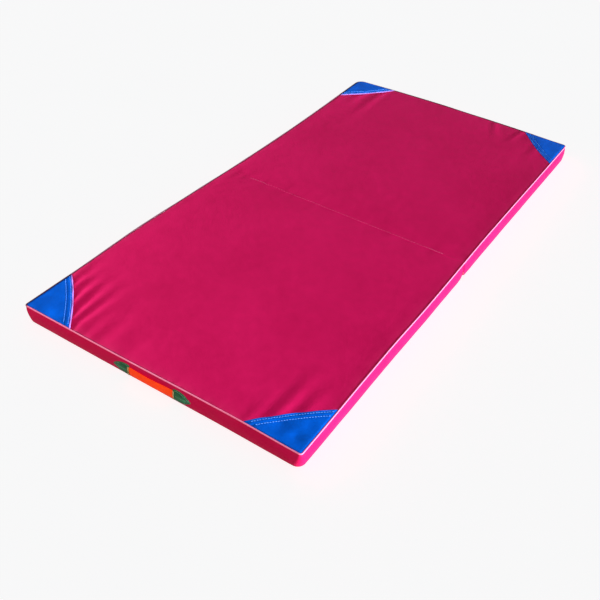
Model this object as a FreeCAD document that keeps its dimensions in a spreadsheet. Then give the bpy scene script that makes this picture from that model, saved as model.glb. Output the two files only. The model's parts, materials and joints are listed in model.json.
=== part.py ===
"""Folding gym mat: two foam panels in sewn covers, joined along one fold at the top sheet.

Row frame, millimetres: +Z up, +Y from the near end to the far end, +X to the right of
someone standing at the near end. The origin is the centre of the underside, on the fold line.
The near panel (-Y) is built as sketched solids; the far panel is its mirror image in the fold.
"""
import FreeCAD, Part
import Sketcher
import math
import os

Vector = FreeCAD.Vector
Constraint = Sketcher.Constraint
doc = FreeCAD.newDocument("folding_gym_mat")

# ---------------------------------------------------------------- driving dimensions
SIZES = [
    ("mat_length", 2000.0),      # near end wall to far end wall, laid flat
    ("mat_width", 1000.0),
    ("mat_thick", 65.0),         # underside to top sheet
    ("fold_gap", 12.0),          # between the two inner walls, laid flat
    ("cover_thick", 0.9),        # coated fabric
    ("corner_round", 16.0),      # upright corners of the cover
    ("web_half", 14.0),          # half the width of the bending web of the top sheet
    ("edge_inset", 2.9),         # top sheet stops this far inside the wall face, at the piping
    ("piping_rad", 2.4),
    ("piping_in", 0.4),          # cord centre inside the wall face
    ("piping_drop", 2.4),        # cord centre below the top sheet's face
    ("piping_gap", 1.0),         # cord end to fold plane
    ("wall_top_drop", 5.2),      # wall band stops this far below the top sheet's face
    ("hollow_over", 5.0),        # cut inside the wall band runs this far past the fold plane
    ("foam_clear", 0.1),
    ("foam_top_ease", 5.4),
    ("foam_foot_ease", 9.0),
    ("patch_leg", 186.0),        # corner reinforcement, along each edge
    ("patch_thick", 1.2),
    ("patch_bow", 7.0),          # how far its long edge bows towards the mat's middle
    ("stitch_rad", 0.45),
    ("row_one", 7.0),            # stitch rows in from the patch's long edge
    ("row_two", 20.0),
    ("row_stop", 6.0),           # how much a row is shortened at each end
    ("fold_row_left", 395.0),    # the row along the fold runs from here on the left
    ("fold_row_right", 420.0),   # to here on the right
    ("strap_width", 31.0),
    ("strap_thick", 2.0),
    ("strap_half", 80.0),        # half the free span between the sewn ends
    ("strap_rise", 8.0),         # stand-off of the strap's middle from the wall
    ("strap_end_gap", 0.3),
    ("tab_length", 42.0),        # strap end sewn under its leaf
    ("leaf_length", 62.0),
    ("leaf_height", 40.0),
    ("leaf_thick", 3.6),
    ("leaf_bow", 8.5),           # how far its two long sides bow outwards
    ("leaf_edge", 3.0),          # corner radius at its straight side
    ("leaf_rim", 1.2),           # chamfer round its outer face
    ("seat_over", 1.0),          # seat cut runs this far past the straight side
    ("handle_mid", 29.5),        # middle of the strap above the underside
    ("notch_wide", 3.4),         # inner wall's top corners, cleared for the piping
    ("notch_high", 5.6),
    ("zip_length", 990.0),
    ("slot_height", 14.0),
    ("tape_height", 10.4),
    ("tape_thick", 0.6),
    ("coil_rad", 1.3),
    ("coil_out", 0.3),           # coil centre behind the inner wall's face
    ("coil_gap", 0.2),           # coil end to end stop
    ("stop_length", 4.0),
    ("stop_depth", 1.6),
    ("slider_length", 12.0),
    ("slider_half", 5.0),        # half its height
    ("slider_plate", 1.4),
    ("plate_clear", 0.25),       # slider plate to coils
    ("flange_clear", 0.55),      # slider flanges to coils
    ("flange_back", 0.5),        # flange backs behind the inner wall's face
    ("slider_x", 483.0),         # closed position, measured from the middle
    ("pull_length", 21.0),
    ("pull_width", 6.0),
    ("pull_thick", 1.0),
    ("pull_play", 0.25),         # gap on each side of the pull tab
    ("pull_hole", 1.6),          # radius of the eye the slider's post passes through
    ("post_rad", 1.52),          # the post the pull tab turns on
    ("cap_rad", 2.3),
    ("cap_thick", 0.5),
    ("pull_lean", 45.0),         # below the horizontal, as left after closing
]
size = dict(SIZES)
sheet = doc.addObject("Spreadsheet::Sheet", "params")
for row, (name, value) in enumerate(SIZES, start=1):
    sheet.set(f"A{row}", name)
    sheet.set(f"B{row}", str(value))
    sheet.setAlias(f"B{row}", name)
doc.recompute()

# Expressions used by several pieces
HALF_WIDTH = "params.mat_width/2"
HALF_LENGTH = "params.mat_length/2"
HALF_GAP = "params.fold_gap/2"
COVER = "params.cover_thick"
INSET = "params.edge_inset"
MID_Z = "params.mat_thick/2"
HANDLE_Z = "params.handle_mid"
STRAP_LOW = f"{HANDLE_Z}-params.strap_width/2"
STRAP_HIGH = f"{HANDLE_Z}+params.strap_width/2"

SIDES = (("left", -1), ("right", 1))
parts = {}          # label: object


# ---------------------------------------------------------------- document helpers
def keep(label, obj):
    """Labels a finished piece and lists it for export."""
    obj.Label = label
    parts[label] = obj


def new_body(label):
    body = doc.addObject("PartDesign::Body", label + "_body")
    keep(label, body)
    return body


def value_of(expr):
    """Reads an expression through a scratch cell, so a sketch starts near its answer."""
    sheet.set("D1", "=" + expr.replace("params.", ""))
    doc.recompute([sheet])
    got = sheet.get("D1")
    return float(got.Value if hasattr(got, "Value") else got)


def signed(side, expr):
    """The expression as it is on the right (+1), negated on the left (-1)."""
    return f"({expr})" if side > 0 else f"-({expr})"


# ---------------------------------------------------------------- sketch helpers
def new_sketch(body, name, role, offset):
    """A sketch on one of the body's origin planes, lifted along its normal by an expression.

    The normal of XZ_Plane is -Y, so a positive offset there lies in the near panel.
    """
    sketch = body.newObject("Sketcher::SketchObject", name)
    plane = next(f for f in body.Origin.OriginFeatures if f.Role == role)
    sketch.AttachmentSupport = [(plane, "")]
    sketch.MapMode = "FlatFace"
    sketch.setExpression("AttachmentOffset.Base.z", offset)
    return sketch


def constrain(sketch, *rows):
    for row in rows:
        sketch.addConstraint(Constraint(*row))


def drive(sketch, name, expr, kind, *where):
    """A named dimension driven by an expression over the sheet."""
    index = sketch.addConstraint(Constraint(kind, *where, value_of(expr)))
    sketch.renameConstraint(index, name)
    sketch.setExpression(f"Constraints.{name}", expr)


def bind(sketch, *rows):
    """Drives signed distances from the sketch origin.

    Each row is (constraint name, axis, geometry, point of it, expression).
    """
    for name, axis, geometry, point, expr in rows:
        drive(sketch, name, expr, "Distance" + axis, -1, 1, geometry, point)


def add_line(sketch, start, end):
    return sketch.addGeometry(Part.LineSegment(start, end), False)


def add_arc(sketch, centre, radius, start, end):
    """A counter-clockwise arc; its angles are in half turns."""
    circle = Part.Circle(centre, Vector(0, 0, 1), radius)
    return sketch.addGeometry(Part.ArcOfCircle(circle, start * math.pi, end * math.pi), False)


def add_shallow_arc(sketch, first, middle, last):
    """The short arc through three points, counter-clockwise about +Z as sketches keep them."""
    circle = Part.Arc(first, middle, last).toShape().Curve
    centre, radius = circle.Center, circle.Radius
    start = math.atan2(first.y - centre.y, first.x - centre.x)
    end = math.atan2(last.y - centre.y, last.x - centre.x)
    if (end - start) % (2 * math.pi) > math.pi:
        start, end = end, start
    sweep = (end - start) % (2 * math.pi)
    arc = Part.ArcOfCircle(Part.Circle(centre, Vector(0, 0, 1), radius), start, start + sweep)
    return sketch.addGeometry(arc, False)


def end_at(sketch, geometry, point):
    """Which end of an arc lies at the point: 1 for its start, 2 for its end."""
    arc = sketch.Geometry[geometry]
    return 1 if (arc.StartPoint - point).Length < (arc.EndPoint - point).Length else 2


def stepped_loop(sketch, points):
    """A closed outline of lines, horizontal and vertical in turn, starting horizontal."""
    count = len(points)
    lines = [add_line(sketch, points[i], points[(i + 1) % count]) for i in range(count)]
    for i in range(count):
        constrain(sketch,
                  ("Coincident", lines[i], 2, lines[(i + 1) % count], 1),
                  ("Vertical" if i % 2 else "Horizontal", lines[i]))
    return lines


def rectangle(sketch, x_low, x_high, y_low, y_high):
    left, right, low, high = (value_of(expr) for expr in (x_low, x_high, y_low, y_high))
    lines = stepped_loop(sketch, [Vector(left, low, 0), Vector(right, low, 0),
                                  Vector(right, high, 0), Vector(left, high, 0)])
    bind(sketch,
         ("x_low", "X", lines[0], 1, x_low),
         ("x_high", "X", lines[0], 2, x_high),
         ("y_low", "Y", lines[0], 1, y_low),
         ("y_high", "Y", lines[2], 1, y_high))


def disc(sketch, x, y, radius):
    centre = Vector(value_of(x), value_of(y), 0)
    circle = Part.Circle(centre, Vector(0, 0, 1), value_of(radius))
    ring = sketch.addGeometry(circle, False)
    bind(sketch, ("x_mid", "X", ring, 3, x), ("y_mid", "Y", ring, 3, y))
    drive(sketch, "disc_rad", radius, "Radius", ring)


def three_sides(sketch, x_side, y_end, y_open, corner):
    """Right side, near end and left side with rounded corners, open towards the fold.

    Returns the lines of the right and left sides; the chain runs from right to left.
    """
    x, y, y_top, radius = (value_of(expr) for expr in (x_side, y_end, y_open, corner))
    x_arc, y_arc = x - radius, y + radius
    right = add_line(sketch, Vector(x, y_top, 0), Vector(x, y_arc, 0))
    right_arc = add_arc(sketch, Vector(x_arc, y_arc, 0), radius, 1.5, 2)
    end = add_line(sketch, Vector(x_arc, y, 0), Vector(-x_arc, y, 0))
    left_arc = add_arc(sketch, Vector(-x_arc, y_arc, 0), radius, 1, 1.5)
    left = add_line(sketch, Vector(-x, y_arc, 0), Vector(-x, y_top, 0))
    constrain(sketch,
              ("Vertical", right),
              ("Tangent", right, 2, right_arc, 2),
              ("Tangent", right_arc, 1, end, 1),
              ("Tangent", end, 2, left_arc, 2),
              ("Tangent", left_arc, 1, left, 1),
              ("Horizontal", end),
              ("Vertical", left),
              ("Equal", right_arc, left_arc))
    bind(sketch,
         ("x_high", "X", right, 1, x_side),
         ("y_start", "Y", right, 1, y_open),
         ("x_low", "X", left, 2, f"-({x_side})"),
         ("y_stop", "Y", left, 2, y_open),
         ("y_low", "Y", end, 1, y_end))
    drive(sketch, "corner_rad", corner, "Radius", right_arc)
    return right, left


# ---------------------------------------------------------------- feature helpers
def pad(body, sketch, length, reverse=False, name="Pad"):
    feature = body.newObject("PartDesign::Pad", name)
    feature.Profile = sketch
    feature.setExpression("Length", length)
    feature.Reversed = reverse
    doc.recompute()


def pocket(body, sketch, length, reverse=False, name="Pocket"):
    """Cuts to a length, or through everything when the length is None."""
    before = body.Shape.Volume
    feature = body.newObject("PartDesign::Pocket", name)
    feature.Profile = sketch
    if length is None:
        feature.Type = 1
    else:
        feature.setExpression("Length", length)
    feature.Reversed = reverse
    doc.recompute()
    if not body.Shape.Volume < before - 1e-3:
        raise RuntimeError(f"{body.Label}: {name} cut nothing")


def same(first, second):
    return abs(first - second) < 1e-6


def dress(body, kind, name, expr, picks, count=None):
    """A Fillet or Chamfer on the edges whose bounding boxes are picked."""
    tip = body.Tip
    names = [f"Edge{i}" for i, edge in enumerate(tip.Shape.Edges, start=1)
             if picks(edge.BoundBox)]
    if count is not None and len(names) != count:
        raise RuntimeError(f"{body.Label}: {name} found {len(names)} edges")
    feature = body.newObject("PartDesign::" + kind, name)
    feature.Base = (tip, names)
    feature.setExpression("Radius" if kind == "Fillet" else "Size", expr)
    doc.recompute()


def box(name, sizes, corner):
    """A box from expressions for its sizes and its lowest corner, each in X, Y, Z order."""
    block = doc.addObject("Part::Box", name)
    for prop, expr in zip(("Length", "Width", "Height"), sizes):
        block.setExpression(prop, expr)
    for axis, expr in zip("xyz", corner):
        block.setExpression(f"Placement.Base.{axis}", expr)
    return block


def rod(name, radius, length, start):
    """A cylinder along +X from the start point."""
    cylinder = doc.addObject("Part::Cylinder", name)
    cylinder.setExpression("Radius", radius)
    cylinder.setExpression("Height", length)
    cylinder.Placement = FreeCAD.Placement(Vector(0, 0, 0),
                                           FreeCAD.Rotation(Vector(0, 1, 0), 90))
    for axis, expr in zip("xyz", start):
        cylinder.setExpression(f"Placement.Base.{axis}", expr)
    return cylinder


def keep_compound(label, name, links):
    compound = doc.addObject("Part::Compound", name)
    compound.Links = links
    doc.recompute()
    keep(label, compound)


def mirrored(name, source, normal):
    mirror = doc.addObject("Part::Mirroring", name)
    mirror.Source = source
    mirror.Normal = normal
    mirror.Base = Vector(0, 0, 0)
    return mirror


# ---------------------------------------------------------------- near panel: foam and cover
def panel_plate(label, outline, inset, y_fold, z_low, thick):
    """A plate of the near panel, inset at sides and end wall, with its end corners rounded."""
    body = new_body(label)
    sketch = new_sketch(body, outline, "XY_Plane", z_low)
    rectangle(sketch, f"-({HALF_WIDTH}-({inset}))", f"{HALF_WIDTH}-({inset})",
              f"-({HALF_LENGTH}-({inset}))", f"-({y_fold})")
    pad(body, sketch, thick)
    y_end = body.Tip.Shape.BoundBox.YMin
    dress(body, "Fillet", outline + "_round", f"params.corner_round-({inset})",
          lambda b: (b.XLength < 1e-6 and b.YLength < 1e-6 and b.ZLength > 1e-3
                     and abs(b.YMin - y_end) < 0.6), count=2)
    return body


def foam_core():
    inset = f"{COVER}+params.foam_clear"
    foam = panel_plate("foam_core_near", "foam_outline", inset,
                       f"{HALF_GAP}+{COVER}+params.tape_thick+2*params.foam_clear",
                       inset, f"params.mat_thick-2*({inset})")
    bounds = foam.Tip.Shape.BoundBox
    for kind, name, level in (("Chamfer", "foam_top_ease", bounds.ZMax),
                              ("Fillet", "foam_foot_ease", bounds.ZMin)):
        # all round except along the fold
        dress(foam, kind, name, "params." + name,
              lambda b: (same(b.ZMin, level) and same(b.ZMax, level)
                         and not same(b.YMin, bounds.YMax)))


def wall_band():
    """The band round the two sides and the near end."""
    wall = panel_plate("wall_band_near", "wall_outer", "0", HALF_GAP, COVER,
                       f"params.mat_thick-params.wall_top_drop-{COVER}")
    sketch = new_sketch(wall, "wall_inner", "XY_Plane", "params.mat_thick")
    right, left = three_sides(sketch, f"{HALF_WIDTH}-{COVER}", f"-({HALF_LENGTH}-{COVER})",
                              "params.hollow_over", f"params.corner_round-{COVER}")
    closing = add_line(sketch, sketch.Geometry[left].EndPoint,
                       sketch.Geometry[right].StartPoint)
    constrain(sketch,
              ("Coincident", closing, 1, left, 2),
              ("Coincident", closing, 2, right, 1))
    pocket(wall, sketch, None, name="wall_hollow")


def inner_wall():
    """The wall facing the fold, with a notch at each top corner and a slot for the zip."""
    inner = new_body("inner_wall_near")
    sketch = new_sketch(inner, "inner_outline", "XZ_Plane", HALF_GAP)
    rectangle(sketch, f"-({HALF_WIDTH}-{COVER})", f"{HALF_WIDTH}-{COVER}",
              COVER, f"params.mat_thick-{COVER}")
    pad(inner, sketch, COVER)
    notch_low = "params.mat_thick-params.notch_high"
    cuts = (
        # sketch, feature, x_low, x_high, z_low, z_high
        ("cord_notch_left", "cord_notch_cut_left", f"-{HALF_WIDTH}",
         f"-{HALF_WIDTH}+params.notch_wide", notch_low, "params.mat_thick"),
        ("cord_notch_right", "cord_notch_cut_right", f"{HALF_WIDTH}-params.notch_wide",
         HALF_WIDTH, notch_low, "params.mat_thick"),
        ("zip_slot", "zip_slot_cut", "-params.zip_length/2", "params.zip_length/2",
         f"{MID_Z}-params.slot_height/2", f"{MID_Z}+params.slot_height/2"),
    )
    for outline, cut, *limits in cuts:
        sketch = new_sketch(inner, outline, "XZ_Plane", HALF_GAP)
        rectangle(sketch, *limits)
        pocket(inner, sketch, f"2*{COVER}", reverse=True, name=cut)


def piping():
    """A cord round three sides, swept from its right end at the fold."""
    cord = new_body("piping_near")
    x_side = f"{HALF_WIDTH}-params.piping_in"
    z_cord = "params.mat_thick-params.piping_drop"
    path = new_sketch(cord, "piping_path", "XY_Plane", z_cord)
    three_sides(path, x_side, f"-({HALF_LENGTH}-params.piping_in)",
                "-params.piping_gap", "params.corner_round-params.piping_in")
    section = new_sketch(cord, "piping_section", "XZ_Plane", "params.piping_gap")
    disc(section, x_side, z_cord, "params.piping_rad")
    doc.recompute()
    sweep = cord.newObject("PartDesign::AdditivePipe", "piping_sweep")
    sweep.Profile = section
    sweep.Spine = path
    doc.recompute()


foam_core()
panel_plate("base_sheet_near", "base_sheet_near_outline", "0", HALF_GAP, "0", COVER)
panel_plate("top_sheet_near", "top_sheet_near_outline", INSET, "params.web_half",
            f"params.mat_thick-{COVER}", COVER)
wall_band()
inner_wall()
piping()


# ---------------------------------------------------------------- corner reinforcements
def patch_long_edge(side):
    """Its end on the end wall's side, its end on the long side, its crown, and the way it bows."""
    x = side * (size["mat_width"] / 2 - size["edge_inset"])
    y = -(size["mat_length"] / 2 - size["edge_inset"])
    leg = size["patch_leg"] - size["edge_inset"]
    on_end = Vector(x - side * leg, y, 0)
    on_side = Vector(x, y + leg, 0)
    inward = Vector(-side, 1, 0).normalize()
    crown = (on_end + on_side) * 0.5 + inward * size["patch_bow"]
    return on_end, on_side, crown, inward


def corner_patch(tag, side):
    """A three-cornered piece on a near corner of the top."""
    label = f"corner_patch_near_{tag}"
    body = new_body(label)
    sketch = new_sketch(body, label + "_outline", "XY_Plane", "params.mat_thick")
    on_end, on_side, crown, _ = patch_long_edge(side)
    corner = f"params.corner_round-{INSET}"
    radius = value_of(corner)
    centre = Vector(on_side.x - side * radius, on_end.y + radius, 0)
    end_edge = add_line(sketch, on_end, Vector(centre.x, on_end.y, 0))
    start = 1.5 if side > 0 else 1
    rounding = add_arc(sketch, centre, radius, start, start + 0.5)
    at_end, at_side = (1, 2) if side > 0 else (2, 1)
    side_edge = add_line(sketch, Vector(on_side.x, centre.y, 0), on_side)
    long_edge = add_shallow_arc(sketch, on_end, crown, on_side)
    long_start = end_at(sketch, long_edge, on_end)
    constrain(sketch,
              ("Horizontal", end_edge),
              ("Vertical", side_edge),
              ("Tangent", end_edge, 2, rounding, at_end),
              ("Tangent", rounding, at_side, side_edge, 1),
              ("Coincident", side_edge, 2, long_edge, 3 - long_start),
              ("Coincident", long_edge, long_start, end_edge, 1))
    # the long edge's centre lies on the corner's diagonal; its distance along x fixes the bow
    leg = f"(params.patch_leg-{INSET})"
    bow = "params.patch_bow"
    bow_radius = f"(({leg}*{leg}/2+{bow}*{bow})/(2*{bow}))"
    x_centre = f"({HALF_WIDTH}-{INSET}-{leg}/2)+({bow_radius}-{bow})/sqrt(2)"
    bind(sketch,
         ("x_edge", "X", side_edge, 2, signed(side, f"{HALF_WIDTH}-{INSET}")),
         ("y_edge", "Y", end_edge, 1, f"-({HALF_LENGTH}-{INSET})"),
         ("x_leg", "X", end_edge, 1, signed(side, f"{HALF_WIDTH}-params.patch_leg")),
         ("y_leg", "Y", side_edge, 2, f"-({HALF_LENGTH}-params.patch_leg)"))
    drive(sketch, "corner", corner, "Radius", rounding)
    bind(sketch, ("x_centre", "X", long_edge, 3, signed(side, x_centre)))
    pad(body, sketch, "params.patch_thick")


def patch_stitching():
    """Two rows of round thread inside the long edge of each near patch."""
    label = "patch_stitching_near"
    half = (size["patch_leg"] - size["edge_inset"]) / math.sqrt(2)
    edge_radius = (half ** 2 + size["patch_bow"] ** 2) / (2 * size["patch_bow"])
    z_thread = size["mat_thick"] + size["patch_thick"] + size["stitch_rad"]
    rows = []
    for tag, side in SIDES:
        _, _, crown, inward = patch_long_edge(side)
        centre = crown - inward * edge_radius
        heading = math.degrees(math.atan2(inward.y, inward.x))
        for n, offset in enumerate((size["row_one"], size["row_two"])):
            radius = edge_radius - offset
            reach = half - offset - size["row_stop"]
            half_angle = math.degrees(math.asin(reach / radius))
            thread = doc.addObject("Part::Torus", f"{label}_{tag}_{n}")
            thread.setExpression("Radius2", "params.stitch_rad")
            thread.Radius1 = radius
            thread.Angle1 = -180
            thread.Angle2 = 180
            thread.Angle3 = 2 * half_angle
            thread.Placement = FreeCAD.Placement(
                Vector(centre.x, centre.y, z_thread),
                FreeCAD.Rotation(Vector(0, 0, 1), heading - half_angle))
            rows.append(thread)
    doc.recompute()
    keep_compound(label, label + "_rows", rows)


for tag, side in SIDES:
    corner_patch(tag, side)
patch_stitching()


# ---------------------------------------------------------------- carrying handle on the end wall
def handle_strap():
    """Free span of the strap: a shallow arch, its ends against the sewn ends."""
    strap = new_body("handle_strap_near")
    sketch = new_sketch(strap, "strap_plan", "XY_Plane", STRAP_LOW)
    half_span = "(params.strap_half-params.strap_end_gap)"
    rise = "params.strap_rise"
    half = value_of(half_span)
    y_wall = -size["mat_length"] / 2
    y_face = y_wall - size["strap_thick"]
    wall_arc, face_arc = (
        add_shallow_arc(sketch, Vector(-half, y, 0), Vector(0, y - size["strap_rise"], 0),
                        Vector(half, y, 0))
        for y in (y_wall, y_face))
    for tag, side in SIDES:
        at_wall = Vector(side * half, y_wall, 0)
        at_face = Vector(side * half, y_face, 0)
        end = add_line(sketch, at_wall, at_face)
        constrain(sketch,
                  ("Coincident", end, 1, wall_arc, end_at(sketch, wall_arc, at_wall)),
                  ("Coincident", end, 2, face_arc, end_at(sketch, face_arc, at_face)),
                  ("Vertical", end))
        bind(sketch,
             (f"x_{tag}", "X", end, 1, signed(side, half_span)),
             (f"y_wall_{tag}", "Y", end, 1, f"-{HALF_LENGTH}"),
             (f"y_face_{tag}", "Y", end, 2, f"-{HALF_LENGTH}-params.strap_thick"))
    bow_radius = f"(({half_span}*{half_span}+{rise}*{rise})/(2*{rise}))"
    y_centre = f"{bow_radius}-{rise}-{HALF_LENGTH}"
    bind(sketch,
         ("bow_in_y", "Y", wall_arc, 3, y_centre),
         ("bow_out_y", "Y", face_arc, 3, f"{y_centre}-params.strap_thick"))
    pad(strap, sketch, "params.strap_width")


def strap_ends():
    """The ends of the strap, sewn flat to the wall under the leaves."""
    x_low = {"left": "-params.strap_half-params.tab_length", "right": "params.strap_half"}
    keep_compound("handle_strap_ends_near", "strap_ends", [
        box(f"strap_end_{tag}",
            ("params.tab_length", "params.strap_thick", "params.strap_width"),
            (x, f"-{HALF_LENGTH}-params.strap_thick", STRAP_LOW))
        for tag, x in x_low.items()])


def handle_leaf(tag, side):
    """Pointed reinforcement over a strap end: straight side at the strap, point away from it."""
    label = f"handle_leaf_near_{tag}"
    body = new_body(label)
    sketch = new_sketch(body, label + "_outline", "XZ_Plane", HALF_LENGTH)
    x_side = side * size["strap_half"]
    z_mid = size["handle_mid"]
    half_height = size["leaf_height"] / 2
    lower = Vector(x_side, z_mid - half_height, 0)
    upper = Vector(x_side, z_mid + half_height, 0)
    point = Vector(side * (size["strap_half"] + size["leaf_length"]), z_mid, 0)

    def long_side(corner, up):
        along = (point - corner).normalize()
        outward = Vector(-along.y, along.x, 0) * (up * side)
        crown = (corner + point) * 0.5 + outward * size["leaf_bow"]
        return add_shallow_arc(sketch, corner, crown, point)

    low_arc = long_side(lower, -1)
    high_arc = long_side(upper, 1)
    straight = add_line(sketch, lower, upper)
    low_tip = end_at(sketch, low_arc, point)
    high_tip = end_at(sketch, high_arc, point)
    constrain(sketch,
              ("Coincident", straight, 1, low_arc, 3 - low_tip),
              ("Coincident", straight, 2, high_arc, 3 - high_tip),
              ("Coincident", low_arc, low_tip, high_arc, high_tip),
              ("Vertical", straight))
    half = "(params.leaf_height/2)"
    bow = "params.leaf_bow"
    chord = f"sqrt(params.leaf_length*params.leaf_length+{half}*{half})"
    bow_radius = f"(({chord}*{chord}/4+{bow}*{bow})/(2*{bow}))"
    x_centre = signed(side, f"params.strap_half+params.leaf_length/2"
                            f"-{half}/{chord}*({bow_radius}-{bow})")
    bind(sketch,
         ("x_side", "X", straight, 1, signed(side, "params.strap_half")),
         ("z_low", "Y", straight, 1, f"{HANDLE_Z}-params.leaf_height/2"),
         ("z_high", "Y", straight, 2, f"{HANDLE_Z}+params.leaf_height/2"),
         ("x_tip", "X", low_arc, low_tip,
          signed(side, "params.strap_half+params.leaf_length")),
         ("z_tip", "Y", low_arc, low_tip, HANDLE_Z),
         ("arc_low_x", "X", low_arc, 3, x_centre),
         ("arc_up_x", "X", high_arc, 3, x_centre))
    pad(body, sketch, "params.leaf_thick")
    dress(body, "Fillet", label + "_corners", "params.leaf_edge",
          lambda b: b.XLength < 1e-6 and b.ZLength < 1e-6 and same(b.XMin, x_side))
    y_face = body.Tip.Shape.BoundBox.YMin
    dress(body, "Chamfer", label + "_rim", "params.leaf_rim",
          lambda b: same(b.YMax, y_face))
    # pocket on the wall side that holds the strap end
    seat = new_sketch(body, label + "_seat", "XZ_Plane", HALF_LENGTH)
    ends = [signed(side, "params.strap_half-params.seat_over"),
            signed(side, "params.strap_half+params.tab_length")]
    x_low, x_high = ends[::side]
    rectangle(seat, x_low, x_high, STRAP_LOW, STRAP_HIGH)
    pocket(body, seat, "params.strap_thick", reverse=True, name=label + "_seat_cut")


handle_strap()
strap_ends()
for tag, side in SIDES:
    handle_leaf(tag, side)

# ---------------------------------------------------------------- zip in the inner wall
# Distances from the fold plane to the inside and the outer face of the slider's plate
PLATE_INSIDE = f"({HALF_GAP}+params.coil_out-params.coil_rad-params.plate_clear)"
PLATE_FACE = f"({PLATE_INSIDE}-params.slider_plate)"


def zip_tapes():
    keep_compound("zip_tapes_near", "tapes", [
        box(name, ("params.zip_length", "params.tape_thick", "params.tape_height"),
            ("-params.zip_length/2", f"-({HALF_GAP}+{COVER}+params.tape_thick)", z_low))
        for name, z_low in (
            ("tape_high", f"{MID_Z}+2*params.coil_rad"),
            ("tape_low", f"{MID_Z}-2*params.coil_rad-params.tape_height"))])


def zip_coils():
    keep_compound("zip_coils_near", "coils", [
        rod(name, "params.coil_rad",
            "params.zip_length-2*params.stop_length-2*params.coil_gap",
            ("-(params.zip_length/2-params.stop_length-params.coil_gap)",
             f"-({HALF_GAP}+params.coil_out)", f"{MID_Z}{sign}params.coil_rad"))
        for name, sign in (("coil_high", "+"), ("coil_low", "-"))])


def zip_stops():
    """Blocks as tall as both coils, at the two ends of the zip."""
    keep_compound("zip_end_stops_near", "stops", [
        box(name, ("params.stop_length", "params.stop_depth", "4*params.coil_rad"),
            (x_low, f"-({HALF_GAP}+{COVER})", f"{MID_Z}-2*params.coil_rad"))
        for name, x_low in (
            ("stop_left", "-params.zip_length/2"),
            ("stop_right", "params.zip_length/2-params.stop_length"))])


def zip_slider():
    """A channel that rides over both coils, with a capped post on its face towards the fold."""
    slider = new_body("zip_slider_near")
    sketch = new_sketch(slider, "slider_section", "YZ_Plane",
                        "-params.slider_x-params.slider_length/2")
    y_back = f"-({HALF_GAP}+params.flange_back)"
    y_plate = f"-{PLATE_INSIDE}"
    y_face = f"-{PLATE_FACE}"
    z_low = f"{MID_Z}-params.slider_half"
    z_high = f"{MID_Z}+params.slider_half"
    z_in_low = f"{MID_Z}-2*params.coil_rad-params.flange_clear"
    z_in_high = f"{MID_Z}+2*params.coil_rad+params.flange_clear"
    outline = [          # (Y, Z) round the channel, which opens away from the fold
        (y_back, z_low), (y_face, z_low), (y_face, z_high), (y_back, z_high),
        (y_back, z_in_high), (y_plate, z_in_high), (y_plate, z_in_low), (y_back, z_in_low),
    ]
    lines = stepped_loop(sketch, [Vector(value_of(y), value_of(z), 0) for y, z in outline])
    bind(sketch,
         ("y_back", "X", lines[0], 1, y_back),
         ("y_back_b", "X", lines[4], 1, y_back),
         ("y_plate", "X", lines[5], 1, y_plate),
         ("y_face", "X", lines[1], 1, y_face),
         ("z_low", "Y", lines[0], 1, z_low),
         ("z_high", "Y", lines[2], 1, z_high),
         ("z_in_high", "Y", lines[4], 1, z_in_high),
         ("z_in_low", "Y", lines[6], 1, z_in_low))
    pad(slider, sketch, "params.slider_length", name="slider_channel")
    post_length = "params.pull_thick+2*params.pull_play"
    sketch = new_sketch(slider, "slider_post_disc", "XZ_Plane", PLATE_FACE)
    disc(sketch, "-params.slider_x", MID_Z, "params.post_rad")
    pad(slider, sketch, post_length, reverse=True, name="slider_post")
    sketch = new_sketch(slider, "slider_cap", "XZ_Plane", f"{PLATE_FACE}-({post_length})")
    disc(sketch, "-params.slider_x", MID_Z, "params.cap_rad")
    pad(slider, sketch, "params.cap_thick", reverse=True, name="slider_cap_pad")


def zip_pull():
    """A flat link with an eye, swinging on the slider's post in the plane of the wall."""
    pull = new_body("zip_pull_near")
    sketch = new_sketch(pull, "pull_outline", "XZ_Plane", f"{PLATE_FACE}-params.pull_play")
    half, reach = size["pull_width"] / 2, size["pull_length"]
    origin = Vector(0, 0, 0)
    top = add_line(sketch, Vector(0, half, 0), Vector(-reach, half, 0))
    free_end = add_arc(sketch, Vector(-reach, 0, 0), half, 0.5, 1.5)
    bottom = add_line(sketch, Vector(-reach, -half, 0), Vector(0, -half, 0))
    eye_end = add_arc(sketch, origin, half, 1.5, 2.5)
    eye = sketch.addGeometry(Part.Circle(origin, Vector(0, 0, 1), size["pull_hole"]), False)
    constrain(sketch,
              ("Tangent", top, 2, free_end, 1),
              ("Tangent", free_end, 2, bottom, 1),
              ("Tangent", bottom, 2, eye_end, 1),
              ("Tangent", eye_end, 2, top, 1),
              ("Horizontal", top),
              ("Coincident", eye_end, 3, -1, 1),
              ("Coincident", eye, 3, -1, 1))
    bind(sketch, ("reach", "X", free_end, 3, "-params.pull_length"))
    drive(sketch, "half_width", "params.pull_width/2", "Radius", free_end)
    drive(sketch, "eye_rad", "params.pull_hole", "Radius", eye)
    pad(pull, sketch, "params.pull_thick", reverse=True, name="pull_plate")
    # the tab leans to the left and down from the post
    pull.Placement = FreeCAD.Placement(
        origin, FreeCAD.Rotation(Vector(0, 1, 0), -size["pull_lean"]))
    pull.setExpression("Placement.Base.x", "-params.slider_x")
    pull.setExpression("Placement.Base.z", MID_Z)
    doc.recompute()


zip_tapes()
zip_coils()
zip_stops()
zip_slider()
zip_pull()


# ---------------------------------------------------------------- the fold
def fold_web():
    """The strip of top sheet that joins the panels."""
    web = new_body("fold_web")
    sketch = new_sketch(web, "web_outline", "XY_Plane", f"params.mat_thick-{COVER}")
    rectangle(sketch, f"-({HALF_WIDTH}-{INSET})", f"{HALF_WIDTH}-{INSET}",
              "-params.web_half", "params.web_half")
    pad(web, sketch, COVER)


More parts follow.
